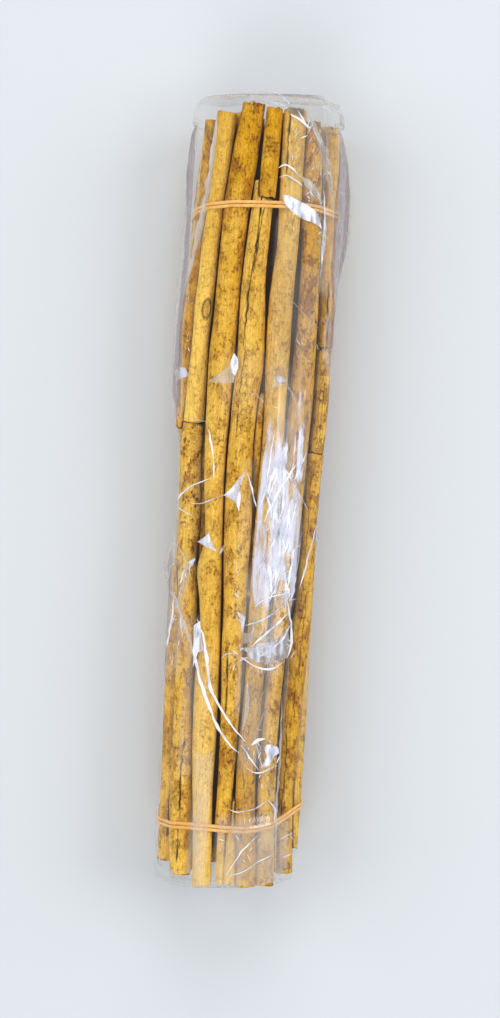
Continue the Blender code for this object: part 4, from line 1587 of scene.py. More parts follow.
CREASES = (
    Crease(((12, 215), (18, 212), (24, 208)), 1.1, 0.9),
    Crease(((24, 217), (23, 213), (22, 209)), 0.8, 0.7),
    Crease(((3, 228), (8, 224), (11, 221)), 0.8, 0.8),
    Crease(((-5, 223), (3, 221), (10, 219)), 0.7, 0.6),
    Crease(((24, 221), (32, 221), (38, 219)), 0.7, 0.6),
    Crease(((28, 218), (25, 211), (22, 205)), 0.7, 0.6),
    Crease(((7, 184), (11, 186), (15, 184), (19, 180)), 0.9, 0.7),
    Crease(((-30, 214), (-31, 196), (-32, 180), (-34, 162), (-37.5, 142), (-41, 124), (-43, 112)), 3.2, 0.0, 0.42),
    Crease(((-31, 208), (-32.5, 186), (-34, 165), (-37, 146)), 0.7, 0.6),
    Crease(((22, 219), (27, 206), (33, 194), (37, 180), (39, 166)), 4.2, 0.0, 0.30),
    Crease(((20, 180), (24, 177), (29, 172), (33, 166)), 3.4, 0.2, 0.40),
    Crease(((16, 217.5), (19, 213), (22.6, 207.6)), 0.8, 0.85),
    Crease(((24.5, 212), (27, 205), (30.5, 199)), 0.6, 0.7),
    Crease(((8, 178.6), (12, 180), (17, 177.5), (21.6, 175)), 0.8, 0.75),
    Crease(((19, 60), (22, 57), (25, 50), (27, 40)), 1.6, 0.3, 0.35),
    Crease(((6, -92), (14, -84), (22, -76), (28, -70)), 1.5, 0.8),
    Crease(((10, -97), (18, -92), (26, -84), (30, -76)), 1.2, 0.8),
    Crease(((4, -78), (14, -74), (24, -66), (29, -58)), 1.1, 0.75),
    Crease(((8, -70), (9, -78), (7, -88)), 0.9, 0.5),
    Crease(((-42, -32), (-36, -38), (-31.5, -46), (-34, -58), (-37, -74)), 1.6, 0.3, 0.36),
    Crease(((-44, -57), (-38, -66), (-30, -82), (-24, -98), (-18.5, -112)), 2.0, 0.3, 0.34),
    Crease(((-42, -101), (-40, -88), (-37, -75)), 1.0, 0.75),
    Crease(((-31.4, -44), (-33, -50), (-35.5, -58)), 1.4, 0.7),
    Crease(((27, -115), (28, -134), (28.5, -159), (28, -178), (29, -200), (30, -222)), 1.0, 0.25, 0.40),
    Crease(((7, -110), (8, -125), (6, -138)), 2.4, 0.0, 0.32),
    Crease(((18, -112), (12, -132), (16, -150), (24, -172), (29, -184)), 0.8, 0.35, 0.3),
    Crease(((32, 221), (34, 198), (36, 175)), 0.7, 0.4),
    Crease(((28, 212), (31, 200), (33, 186), (34, 174)), 0.7, 0.35),
    Crease(((34, 174), (34.5, 165), (35.5, 155), (35, 140), (35, 124)), 1.3, 0.8),
    Crease(((35, 165), (36.5, 150), (35.5, 134)), 0.8, 0.7),
    Crease(((41, 176), (48, 176)), 0.7, 0.5),
    Crease(((45, 170), (46, 150), (45.5, 130), (44, 112)), 0.8, 0.5),
    Crease(((15, 112), (22, 106), (30, 99), (37, 94)), 0.5, 0.35),
    Crease(((-2, 56), (3, 53), (7, 50)), 0.9, 0.5),
    Crease(((-34, 38), (-29, 37.5), (-23, 37)), 0.6, 0.5),
    Crease(((-24, 33), (-21, 21), (-19.3, 12), (-19, 5)), 1.1, 0.95),
    Crease(((-19, 5), (-24, 3.5), (-33, -1), (-38, -6), (-40, -12), (-36, -15), (-31, -17)), 1.0, 0.95),
    Crease(((-12, -4), (-19, -7), (-26, -10), (-33, -10)), 0.8, 0.75),
    Crease(((0, 9), (3, 0), (6, -10)), 1.0, 0.9),
    Crease(((-27, -42), (-30, -47), (-29, -52)), 0.8, 0.9),
    Crease(((42, -18), (40, -27), (38, -36), (36, -46), (34, -56)), 0.9, 0.7),
    Crease(((44, -20), (43, -34), (41, -44)), 0.8, 0.5),
    Crease(((-46, -44), (-44, -55), (-38, -64), (-34, -73), (-31.5, -90)), 1.6, 0.5),
    Crease(((-38, -62), (-39, -80), (-41, -93), (-43, -102)), 1.0, 0.8),
    Crease(((-30, -48), (-31, -58), (-34, -64)), 1.2, 0.45),
    Crease(((-23, -78), (-24.5, -92), (-22, -104), (-17, -118), (-8, -137), (0, -147), (5, -151)), 2.0, 1.0),
    Crease(((-24, -76), (-19, -88), (-16, -104), (-13, -116), (-5, -129), (3, -139), (8, -144)), 1.8, 1.0),
    Crease(((9, -67), (13, -63), (19, -60.5), (29, -58)), 1.0, 0.8),
    Crease(((3, -96), (11, -101), (20, -102), (28, -97)), 1.0, 0.9),
    Crease(((-9, -98), (-6, -95), (-1, -94)), 0.8, 0.6),
    Crease(((0, -100), (4, -97), (8, -96)), 0.8, 0.6),
    Crease(((27, -62), (30, -75), (31, -84), (29, -96)), 1.1, 0.85),
    Crease(((10, -159), (14, -161.5), (19, -161), (27, -157)), 0.8, 0.85),
    Crease(((6, -146), (11, -153), (17, -160)), 1.0, 0.7),
    Crease(((12, -146), (15, -143), (19, -142)), 1.7, 0.9),
    Crease(((19, -122), (16, -132), (12, -143)), 0.6, 0.4),
    Crease(((1, -183), (5, -184.5), (9, -184), (16, -182), (23, -177)), 0.8, 0.7),
    Crease(((23, -177), (27, -182), (27.5, -190)), 1.2, 0.7),
    Crease(((19, -197), (13, -203), (9, -208), (2, -221)), 0.8, 0.75),
    Crease(((3, -221), (10, -219), (19, -213), (28, -208)), 0.8, 0.75),
    Crease(((29, -201), (39, -197)), 0.7, 0.7),
    Crease(((33, -211), (39, -209)), 0.8, 0.7),
    Crease(((-20, 226), (-5, 227.5), (10, 227), (26, 224.5)), 0.7, 0.5),
)

FLAPS = (
    Flap(((10, 169), (14, 168.5), (20, 166), (26, 163.5), (31.5, 160), (34, 152), (29, 154.5), (22, 156),
          (16, 159.5), (11.5, 164)), 0.95, 0.7),
    Flap(((-47, 68), (-40, 68), (-37, 63), (-45, 60.5)), 0.9, 0.4, 0.7),
    Flap(((-26, 60), (-21, 63.5), (-15, 69), (-11, 76), (-9.5, 72), (-10.5, 65), (-11, 60), (-18, 59)), 0.75, 0.4, 0.4),
    Flap(((-12, 77), (-9.5, 74), (-9, 69), (-10.5, 64), (-13, 66), (-14, 71)), 0.9, 0.5),
    Flap(((11.5, 66), (16, 65), (20, 62), (16, 61), (13, 63)), 0.65, 0.3),
    Flap(((-1, 10), (-4.5, 6.5), (-8, 0.5), (-13, -4.5), (-9, -6), (-6, -8), (-3.5, -13.5), (-3, -6), (-3.6, 1)),
         0.95, 0.6),
    Flap(((-26.5, -32), (-23, -29.5), (-20, -26.5), (-18.5, -31), (-15, -37), (-20, -35)), 0.95, 0.6),
    Flap(((-13.5, -39), (-12.5, -35), (-10.5, -32), (-11, -36)), 0.8, 0.4),
    Flap(((-31, -44), (-27, -41), (-28.5, -47)), 0.8, 0.4),
    Flap(((-25.5, -80), (-22, -77), (-21, -84), (-19, -94), (-22, -95), (-24.5, -104), (-25, -92)), 0.9, 0.6),
    Flap(((-1.5, -70), (4, -73), (3.5, -77), (2.5, -83), (1, -75)), 0.85, 0.5),
    Flap(((1, -91), (7, -90), (12, -89.5), (19, -86), (24, -84), (28, -78), (30, -86), (29, -95), (22, -99),
          (14, -99), (8, -97), (6, -93)), 0.85, 0.9, 0.75),
    Flap(((3, -82), (10, -82.5), (9, -86), (3, -89)), 0.55, 0.4),
    Flap(((18, -146), (22, -145), (27, -146.5), (28, -150), (25, -152), (23, -157), (18, -158.5), (21, -152)),
         0.85, 0.8),
    Flap(((5, -143), (10, -147), (12, -152), (8, -152)), 0.5, 0.5),
    Flap(((2, 219), (8, 222), (14, 219.5), (20, 219), (22, 214), (14, 215)), 0.25, 0.5),
)

VEILS = (
    Veil(28, 195, 15, 36, 0.10, 8), Veil(13.5, 90, 6, 66, 0.10, 3), Veil(28.5, 74, 5, 56, 0.15, 3), Veil(45.5, 150, 5.5, 78, 0.64, 3),
    Veil(40, 165, 5, 50, 0.22, 4), Veil(-45.5, 128, 4, 88, 0.68, 2.5), Veil(-3, 61, 15, 17, 0.10, 7),
    Veil(-43, -75, 4, 40, 0.6, 3), Veil(-37, -75, 6, 34, 0.24, 4), Veil(20, -18, 9.5, 42, 0.10, 5),
    Veil(-26, -122, 4.5, 46, 0.22, 4), Veil(-17, -125, 4, 34, 0.12, 4), Veil(16, -212, 21, 24, 0.36, 5), Veil(-15.5, -192, 5, 40, 0.36, 3),
    Veil(34, 195, 7, 30, 0.20, 4), Veil(7, -88, 6, 42, 0.24, 4), Veil(13, -120, 9, 40, 0.24, 5),
    Veil(0, -30, 4, 46, 0.12, 4),
    Veil(0, 228, 46, 5, 0.58, 3), Veil(-42, -215, 4, 14, 0.3, 3), Veil(14, 65, 6, 8, 0.22, 4))

GLARES = (
    Glare(29, 22, 2.6, 26, 0.74), Glare(27.5, 48, 1.8, 18, 0.62), Glare(17, -91, 14, 7, 0.55),
    Glare(29, 167, 6, 12, 0.36), Glare(33, 200, 7, 20, 0.30), Glare(15, -212, 20, 15, 0.16),
    Glare(-43, 66, 4, 6, 0.45), Glare(-3, -42, 2.5, 10, 0.42), Glare(-1, -66, 3, 10, 0.36),
    Glare(26, -150, 5, 8, 0.38), Glare(18, 196, 6, 20, 0.26), Glare(-30, -58, 4, 12, 0.34),
    Glare(14, 62, 5, 6, 0.48), Glare(26, -41, 3.0, 9, -0.5), Glare(24, -54, 5, 4, -0.45),
    Glare(25.5, 10, 2.0, 20, -0.4), Glare(14, -36, 2.0, 16, -0.22), Glare(19, -62, 3, 8, -0.3),
    Glare(11, -10, 1.5, 12, -0.2))


# Clusters of painted glints: across, station, half width, half length and number of strokes.
GLINTS = (
    (27, 182, 8, 34, 28), (35, 150, 2.5, 24, 18), (36, 200, 6, 20, 10), (12, 203, 8, 14, 6), (-37, -70, 7, 42, 20),
    (16, -88, 15, 12, 30), (17, -151, 11, 14, 20), (26, -60, 6, 30, 16), (-2, -48, 3, 24, 12), (-3, -92, 5, 12, 8),
    (-40, 95, 4, 40, 8), (26, 96, 10, 24, 6), (10, -205, 24, 20, 12), (20, -15, 11, 42, 30), (0, 222, 36, 6, 12))


def spline_points(path: tuple[Row, ...], spacing: float) -> np.ndarray:
    """Smooth line through given points.

    Args:
        path: the points.
        spacing: rough run between the new points.

    Returns:
        Evenly spaced points of the line.
    """
    knots = np.array(path, dtype=float)
    if len(knots) > 2:
        padded = np.vstack((2 * knots[0] - knots[1], knots, 2 * knots[-1] - knots[-2]))
        line = [knots[0]]
        for k in range(1, len(padded) - 2):
            a, b, c, d = padded[k - 1:k + 3]
            for t in np.linspace(0, 1, 9)[1:]:
                line.append(0.5 * (2 * b + (c - a) * t + (2 * a - 5 * b + 4 * c - d) * t**2
                                   + (3 * b - a - 3 * c + d) * t**3))
        knots = np.array(line)
    length = np.concatenate(([0.0], np.cumsum(np.linalg.norm(np.diff(knots, axis=0), axis=1))))
    count = max(4, int(length[-1] / spacing))
    at = np.linspace(0, length[-1], count)
    return np.stack([np.interp(at, length, knots[:, k]) for k in range(knots.shape[1])], axis=1)


def crease_tree() -> bpy.types.NodeTree:
    """Builds the tree that lays pressed folds of film along lines.

    Returns:
        A tree from lines with a width to thin lens-shaped ridges.
    """
    tree = bpy.data.node_groups.new("pressed_crease", "GeometryNodeTree")
    sockets = (("Lines", "Geometry", None), ("Sides", "Int", 8), ("Flatness", "Float", 0.35),
               ("Film", "Material", None))
    for name, kind, default in sockets:
        socket = tree.interface.new_socket(name, in_out="INPUT", socket_type=f"NodeSocket{kind}")
        if default is not None:
            socket.default_value = default
    tree.interface.new_socket("Creases", in_out="OUTPUT", socket_type="NodeSocketGeometry")
    build = TreeBuilder(tree)
    given = build.add("NodeGroupInput").outputs
    line = build.add("GeometryNodeMeshToCurve", {"Mesh": given["Lines"]}).outputs[0]
    line = build.add("GeometryNodeSetCurveNormal", {"Curve": line}, mode="Z_UP").outputs[0]
    ring = build.add("GeometryNodeCurvePrimitiveCircle", {"Resolution": given["Sides"], "Radius": 0.5}).outputs[0]
    flat = build.add("ShaderNodeCombineXYZ", {0: 1.0, 1: given["Flatness"], 2: 1.0}).outputs[0]
    place = build.add("GeometryNodeInputPosition").outputs[0]
    place = build.add("ShaderNodeVectorMath", {0: place, 1: flat}, operation="MULTIPLY").outputs[0]
    ring = build.add("GeometryNodeSetPosition", {"Geometry": ring, "Position": place}).outputs[0]
    width = build.add("GeometryNodeInputNamedAttribute", {"Name": "width"}, data_type="FLOAT").outputs[0]
    swept = build.add("GeometryNodeCurveToMesh", {"Curve": line, "Profile Curve": ring, "Scale": width,
                                                  "Fill Caps": True}).outputs[0]
    swept = build.add("GeometryNodeSetShadeSmooth", {"Geometry": swept, "Shade Smooth": True}).outputs[0]
    solid = build.add("GeometryNodeRealizeInstances", {"Geometry": swept}).outputs[0]
    dressed = build.add("GeometryNodeSetMaterial", {"Geometry": solid, "Material": given["Film"]}).outputs[0]
    build.add("NodeGroupOutput", {0: dressed})
    return tree


@dataclass
class FilmWrap:
    """The bag: a closed wrap with folded ends, a lap, pressed creases and crumpled flaps."""

    form: BundleForm
    hull: TightHull
    film: bpy.types.Material
    bands: tuple
    sag: float = 0.30
    facet_across: float = 9.0
    facet_along: float = 20.0
    calm: float = 0.28
    loose: float = 1.0
    girth_radius: float = 40.0
    cap_rings: int = 15
    cap_tuck: float = 0.0022
    band_bulge: float = 0.0013
    band_reach: float = 0.0042
    floor_gap: float = 0.0002
    veil_from: float = 0.016
    thinnest: float = 0.004
    side_from: float = 41.0
    side_low: float = 27.0
    side_fray: float = 14.0
    side_fade: float = 9.0
    lap_left: tuple[Row, ...] = ((228, 9.5), (150, 8.5), (60, 8), (0, 7.5), (-60, 6.5), (-150, 4.5), (-190, 5),
                                 (-200, -3.5), (-228, -4))
    lap_right: tuple[Row, ...] = ((228, 31), (176, 34), (120, 35), (90, 33), (30, 33), (-40, 33), (-62, 29.5),
                                  (-91, 29.5), (-120, 30.5), (-155, 29), (-178, 28.2), (-228, 28))
    lap_haze: float = 0.045
    lap_lift: float = 0.0004
    streaks: int = 46
    grid: np.ndarray | None = None

    def facets(self) -> np.ndarray:
        """Height of the stiff film's flat facets over the tight wrap, by station and angle, in mm."""
        draw = np.random.default_rng(5)
        half = math.pi * self.girth_radius
        across = np.arange(-half, half, self.facet_across)
        along = np.arange(-236, 237, self.facet_along)
        u, v = (line.ravel() for line in np.meshgrid(across, along, indexing="ij"))
        u = u + draw.uniform(-0.42, 0.42, len(u)) * self.facet_across
        v = v + draw.uniform(-0.42, 0.42, len(v)) * self.facet_along
        looseness = np.exp(-((np.abs(u) - half / 2) / 9) ** 2) + ease((np.abs(v) - 208) / 10)
        h = draw.random(len(u)) ** 1.5 * (self.calm + self.loose * np.minimum(looseness, 1))
        for spot in CRUMPLES:
            angle = self.angle_of(spot.station, spot.across)
            number = max(8, int(math.pi * spot.half_width * spot.half_length / 7.5))
            radius, turn = np.sqrt(draw.random(number)), draw.uniform(0, 2 * math.pi, number)
            u = np.concatenate((u, angle * self.girth_radius + spot.half_width * radius * np.cos(turn)))
            v = np.concatenate((v, spot.station + spot.half_length * radius * np.sin(turn)))
            h = np.concatenate((h, spot.height * draw.random(number) * (1 - 0.7 * radius)))
        wrapped = [(uu + side * 2 * half, vv, hh) for uu, vv, hh in zip(u, v, h) for side in (-1, 1)
                   if abs(uu + side * 2 * half) < half + 25]
        u, v, h = (np.concatenate((line, [row[k] for row in wrapped])) for k, line in enumerate((u, v, h)))
        found = delaunay_2d_cdt([Vector(pair) for pair in zip(u, v)], [], [], 0, 1e-5)
        places, origin = np.array([tuple(point) for point in found[0]]), found[3]
        level = np.array([h[source[0]] if source else 0.0 for source in origin])
        height = np.zeros((len(self.hull.station), self.hull.columns))
        rows, columns = self.hull.station / MM, self.hull.angle * self.girth_radius
        for corner in found[2]:
            triangle = places[list(corner)]
            low, high = triangle.min(0), triangle.max(0)
            j = np.nonzero((columns >= low[0]) & (columns <= high[0]))[0]
            i = np.nonzero((rows >= low[1]) & (rows <= high[1]))[0]
            if len(i) == 0 or len(j) == 0:
                continue
            a, b, c = triangle
            area = (b[0] - a[0]) * (c[1] - a[1]) - (c[0] - a[0]) * (b[1] - a[1])
            if abs(area) < 1e-6:
                continue
            x, y = columns[j][None, :], rows[i][:, None]
            s = ((x - a[0]) * (c[1] - a[1]) - (c[0] - a[0]) * (y - a[1])) / area
            t = ((b[0] - a[0]) * (y - a[1]) - (x - a[0]) * (b[1] - a[1])) / area
            inside = (s >= -1e-9) & (t >= -1e-9) & (s + t <= 1 + 1e-9)
            value = level[corner[0]] * (1 - s - t) + level[corner[1]] * s + level[corner[2]] * t
            block = height[np.ix_(i, j)]
            block[inside] = value[inside]
            height[np.ix_(i, j)] = block
        return height

    def angle_of(self, station: float, across: float) -> float:
        """Direction in which the upper film lies at a place seen from above.

        Args:
            station: place along, in millimetres.
            across: place across, in millimetres.

        Returns:
            The angle from the top towards +X.
        """
        angles = np.linspace(-1.9, 1.9, 120)
        reach = self.hull.reach(np.full(120, station * MM), angles)
        x = np.interp(station * MM, self.hull.station[::-1], self.hull.centre[::-1]) + reach * np.sin(angles)
        use = slice(int(np.argmin(x)), int(np.argmax(x)) + 1)
        return float(np.interp(across * MM, x[use], angles[use]))

    def shape(self) -> np.ndarray:
        """Points of the wrap, by station and angle."""
        hull = self.hull
        bare = blurred(blurred(hull.bare, 1.2, 0), 0.8, 1, True)
        fin = hull.finned - hull.bare
        most = np.maximum(fin.max(axis=1, keepdims=True), 1e-5)
        fin = blurred(most * (fin / most) ** hull.fin_sharpness, 1.0, 0)
        valley = blurred(blurred(np.maximum(hull.bare - hull.touch, 0), 3.0, 0), 1.5, 1, True)
        reach = bare - self.sag * np.minimum(valley, 0.004) + fin + self.facets() * MM
        reach = np.maximum(reach, hull.touch)
        reach = np.maximum(reach, self.form.tent(hull.station, hull.angle) + 0.5 * self.facets() * MM)
        for band in self.bands:
            x = hull.centre[:, None] + hull.bare * np.sin(hull.angle)
            z = self.form.axis + hull.bare * np.cos(hull.angle)
            away = hull.station[:, None] - band.station_at(x, z)
            reach = np.maximum(reach, hull.bare + self.band_bulge * np.exp(-(away / self.band_reach) ** 2))
        x = hull.centre[:, None] + reach * np.sin(hull.angle)
        z = np.maximum(self.form.axis + reach * np.cos(hull.angle), self.floor_gap)
        y = hull.station[:, None] + self.form.end_lean(hull.station[:, None], x)
        y = y + self.form.end_flare(hull.station[:, None], x, z)
        return np.stack((x, y, z), axis=-1)

    def caps(self, ring: np.ndarray, side: int) -> list[np.ndarray]:
        """Rings of a folded end, from its edge to near its middle.

        Args:
            ring: the wrap's last ring.
            side: 1 for the head, -1 for the foot.

        Returns:
            The rings.
        """
        middle = ring.mean(axis=0)
        out = ring - middle
        wander = LatticeNoise(60 + side)
        sideways = np.abs(out[:, 0]) / (np.abs(out[:, 0]) + np.abs(out[:, 2]))
        rings = []
        for share in np.linspace(1, 0, self.cap_rings + 1)[1:-1]:
            place = middle + out * share
            fold = np.abs(wander.at(place[:, 0] / 0.009, place[:, 2] / 0.007)) * 0.0016
            tuck = self.cap_tuck * ease(2 * sideways - 0.5) * ease(3 * (1 - share)) * ease(4 * share)
            place[:, 1] += side * (0.0008 * ease(4 * (1 - share)) + fold * (1 - share)) - side * tuck
            rings.append(place)
        return rings

    def height_at(self, across: np.ndarray, station: np.ndarray) -> np.ndarray:
        """Height of the upper film.

        Args:
            across: places across, in metres.
            station: places along, in metres.

        Returns:
            The height at each place.
        """
        found = []
        columns = np.nonzero(np.abs(self.hull.angle) < 1.75)[0]
        for x, y in zip(across, station):
            row = int(np.clip(np.argmin(np.abs(self.hull.station - y)), 0, len(self.hull.station) - 1))
            line = self.grid[row, columns]
            use = slice(int(np.argmin(line[:, 0])), int(np.argmax(line[:, 0])) + 1)
            found.append(np.interp(x, line[use, 0], line[use, 2]))
        return np.array(found)

    def veil_at(self, points: np.ndarray) -> np.ndarray:
        """How milky the film is at each of its points.

        Args:
            points: places, in metres.

        Returns:
            The haze at each.
        """
        x, y, z = (points[..., k] / MM for k in range(3))
        wander = LatticeNoise(91)
        drift, end = wander.at(x / 7, y / 22) + wander.at(z / 6, y / 12), wander.at(x / 3, z / 3)
        haze = np.full(x.shape, self.thinnest)
        for veil in VEILS:
            side = abs(veil.across) > self.side_from
            inside_x = ease((veil.half_width - np.abs(x + side * drift - veil.across)) / veil.soft + 0.5)
            reach = veil.half_length - np.abs(y + side * self.side_fray * end - veil.station)
            inside_y = ease(reach / (veil.soft * (self.side_fade if side else 2.5)) + 0.5)
            deep = ease((z + 2.5 * side * drift - self.side_low) / 9) if side else 1.0
            haze = np.maximum(haze, veil.haze * inside_x * inside_y * deep)
        return haze

    def glare_at(self, points: np.ndarray) -> np.ndarray:
        """How white the painted glare is at each point, as fine streaks.

        Args:
            points: places, in metres.

        Returns:
            The white value at each.
        """
        x, y = points[..., 0] / MM, points[..., 1] / MM
        left, right, strength = (smooth(GLARE_BAND, y, k) for k in (1, 2, 3))
        white = strength * ease((x - left) / 1.6 + 0.5) * ease((right - x) / 2.4 + 0.5)
        for spot in GLARES:
            away = np.hypot((x - spot.across) / spot.half_width, (y - spot.station) / spot.half_length)
            patch = spot.white * ease(1.9 * (1 - away))
            white = white + patch if spot.white < 0 else np.maximum(white, patch)
        return np.maximum(white, 0)

    def wrap(self) -> bpy.types.Object:
        """The closed wrap itself."""
        self.grid = self.shape()
        count = self.hull.columns
        head, foot = self.caps(self.grid[0], 1), self.caps(self.grid[-1], -1)
        rings = head[::-1] + list(self.grid) + foot
        points = np.concatenate([*rings, rings[0].mean(0)[None], rings[-1].mean(0)[None]])
        faces, edge = tube_faces(len(rings), count), (len(rings) - 1) * count
        for j in range(count):
            after = (j + 1) % count
            faces.append((len(points) - 2, after, j))
            faces.append((len(points) - 1, edge + j, edge + after))
        points, faces = outward(points, faces)
        fade = ease((points[:, 2] - self.veil_from) / 0.016)
        end = ease((np.abs(points[:, 1]) - 0.221) / 0.005)
        haze = np.maximum(self.veil_at(points), 0.18 * end) * fade
        haze = np.maximum(haze * (1 - end * (0.75 - 0.75 * ease((points[:, 2] - 0.044) / 0.016))), 0.01)
        # white is painted highlight: on the crumpled spots and in the glare.
        white = np.zeros(len(points))
        for spot in CRUMPLES:
            away = np.hypot((points[:, 0] / MM - spot.across) / spot.half_width,
                            (points[:, 1] / MM - spot.station) / spot.half_length)
            white = np.maximum(white, spot.white * ease(1.4 * (1 - away)) * (points[:, 2] > self.form.axis))
        noise = LatticeNoise(77).at(points[:, 0] / 0.0035, points[:, 1] / 0.006)
        glare = self.glare_at(points) * (points[:, 2] > self.form.axis)
        white = np.maximum(0.75 * glare, white * ease(0.5 + noise))
        return mesh_piece("film_wrap", points, faces, self.film, {"haze": haze, "white": white})

    def lap(self) -> bpy.types.Object:
        """The strip along the bag where the film lies double, as a thin closed sheet."""
        stations = self.hull.station[(self.hull.station < 0.222) & (self.hull.station > -0.224)]
        columns = 30
        rows = []
        for y in stations:
            left, right = smooth(self.lap_left, y / MM) * MM, smooth(self.lap_right, y / MM) * MM
            wave = 0.0004 * math.sin(y / 0.006) + 0.0005 * math.sin(y / 0.019)
            across = np.linspace(left + 0.5 * wave, right + wave, columns)
            height = self.height_at(across, np.full(columns, y))
            tilt = self.form.end_lean(np.full(columns, y), across)
            rows.append(np.stack((across, y + tilt, height + self.lap_lift), axis=1))
        sheet = np.array(rows)
        edge = np.minimum(1, np.linspace(0, 6, columns))[None, :] * np.ones((len(stations), 1))
        # The painted glare lies on the lap as well.
        return self.thin_sheet("film_lap", sheet, self.lap_haze * edge, self.glare_at(sheet))

    def thin_sheet(self, name: str, sheet: np.ndarray, haze: np.ndarray, white: np.ndarray) -> bpy.types.Object:
        """Makes a grid of points a closed sheet with a little thickness.

        Args:
            name: the piece's name.
            sheet: its upper points, by row and column.
            haze: how milky each is.
            white: how white each is.

        Returns:
            The piece.
        """
        rows, columns = sheet.shape[:2]
        under = sheet - (0, 0, 0.00006)
        ring = np.concatenate((sheet, under[:, ::-1]), axis=1)
        points = ring.reshape(-1, 3)
        faces = tube_faces(rows, 2 * columns)
        for base, flip in ((0, False), ((rows - 1) * 2 * columns, True)):
            for j in range(columns - 1):
                k = 2 * columns - 1 - j
                quad = (base + j, base + j + 1, base + k - 1, base + k)
                faces.append(quad[::-1] if flip else quad)
        points, faces = outward(points, faces)
        fields = {key: np.concatenate((value, value[:, ::-1]), axis=1) for key, value in
                  (("haze", haze), ("white", white))}
        return mesh_piece(name, points, faces, self.film, fields)

    def creases(self) -> bpy.types.Object:
        """All pressed creases, fine wrinkle ridges along the right of the middle that carry painted glare streaks, and
        short strokes of painted glint.
        """
        draw = np.random.default_rng(8)
        wander = LatticeNoise(14)
        lines, widths, whites, hazes = [], [], [], []
        drawn = list(CREASES)
        # Fine ridges with painted glare streaks, in the glare along the right of the middle.
        for _ in range(self.streaks):
            station, length = draw.uniform(-58, 30), draw.uniform(8, 42)
            share = draw.uniform(0, 1)
            across = 11 + 20 * share + draw.normal(0, 0.5)
            slant = draw.normal(0, 0.10) * length
            path = ((across - slant, station + length / 2), (across + draw.normal(0, 0.5), station),
                    (across + slant, station - length / 2))
            drawn.append(Crease(path, draw.uniform(0.3, 1.9), draw.uniform(0.6, 1.0)))
        # Short strokes of painted glint.
        for across, station, half_width, half_length, number in GLINTS:
            for _ in range(number):
                x, y = across + half_width * draw.normal(0, 0.5), station + half_length * draw.normal(0, 0.5)
                length, turn, bend = draw.uniform(0.8, 5.0), draw.normal(0, 0.6), draw.normal(0, 0.2)
                dx, dy = length * math.sin(turn) / 2, length * math.cos(turn) / 2
                if abs(x) < 44 and abs(y) < 222:
                    drawn.append(Crease(((x - dx, y + dy), (x + bend, y), (x + dx, y - dy)),
                                        draw.uniform(0.22, 0.55), draw.uniform(0.5, 1.0)))
        for crease in drawn:
            path = spline_points(crease.path, 0.9) * MM
            height = self.height_at(path[:, 0], path[:, 1])
            t = np.linspace(0, 1, len(path))
            taper = np.sin(math.pi * np.clip(t, 0.02, 0.98)) ** 0.6
            shake = 1.1 + 0.6 * wander.at(path[:, 1] / 0.0035, path[:, 0] / 0.004)
            path[:, 0] += 0.0004 * wander.at(path[:, 1] / 0.003 + 40, path[:, 0] / 0.01)
            width = crease.width * MM * taper * shake
            lines.append(np.column_stack((path, height + self.lap_lift + 0.00025)))
            widths.append(width)
            whites.append(crease.white * (0.98 + 0.3 * wander.at(path[:, 1] / 0.005 + 9, path[:, 0] / 0.005)))
            hazes.append(np.maximum(crease.haze, 0.3 * whites[-1]))
        values = {"Sides": 8, "Flatness": 0.22, "Film": self.film}
        fields = {"width": widths, "white": whites, "haze": hazes}
        return made_plain(run_tree("film_creases", lines, crease_tree(), values, fields))

    def flaps(self) -> bpy.types.Object:
        """All crumpled flaps, as thin closed sheets with their own sharp outlines."""
        wander = LatticeNoise(31)
        draw = np.random.default_rng(12)
        points, faces, whites, hazes = np.zeros((0, 3)), [], [], []
        for flap in FLAPS:
            outline = np.array(flap.outline, dtype=float)
            dense = np.concatenate([np.linspace(a, b, max(2, int(np.linalg.norm(b - a) / 1.1)), endpoint=False)
                                    for a, b in zip(outline, np.roll(outline, -1, axis=0))])
            low, high = outline.min(0), outline.max(0)
            inner = np.stack(np.meshgrid(np.arange(low[0], high[0], 1.1), np.arange(low[1], high[1], 1.3)), -1)
            inner = inner.reshape(-1, 2) + draw.uniform(-0.3, 0.3, (inner.size // 2, 2))
            count = len(dense)
            ring = [(k, (k + 1) % count) for k in range(count)]
            verts = [Vector(pair) for pair in np.concatenate((dense, inner))]
            found = delaunay_2d_cdt(verts, ring, [], 1, 1e-4)
            flat = np.array([tuple(point) for point in found[0]])
            used = sorted({v for face in found[2] for v in face})
            index = {v: k for k, v in enumerate(used)}
            flat = flat[used] * MM
            ridge = np.abs(wander.at(flat[:, 0] / 0.0022, flat[:, 1] / 0.0045))
            height = self.height_at(flat[:, 0], flat[:, 1]) + self.lap_lift + 0.0002 + flap.lift * MM * ridge
            top = np.column_stack((flat, height))
            base, size = len(points), len(used)
            upper = [[index[v] for v in face] for face in found[2]]
            borders = {}
            for face in upper:
                for a, b in zip(face, face[1:] + face[:1]):
                    borders[(a, b)] = True
            rim = [(a, b) for a, b in borders if (b, a) not in borders]
            sheet = upper + [[v + size for v in face[::-1]] for face in upper]
            sheet += [[b, a, a + size, b + size] for a, b in rim]
            both, sheet = outward(np.concatenate((top, top - (0, 0, 0.00008))), sheet)
            points = np.concatenate((points, both))
            faces += [[v + base for v in face] for face in sheet]
            # glow is the flap's painted reflection, streaked.
            glow = flap.white * (0.66 + 0.36 * ease(0.5 + wander.at(flat[:, 0] / 0.0014, flat[:, 1] / 0.006)))
            whites += 2 * [glow * flap.solid]
            hazes += 2 * [0.45 * glow]
        fields = {"haze": np.concatenate(hazes), "white": np.concatenate(whites)}
        return mesh_piece("film_flaps", points, faces, self.film, fields)

    def build(self) -> list[bpy.types.Object]:
        """Makes the bag's pieces."""
        return [self.wrap(), self.lap(), self.creases(), self.flaps()]


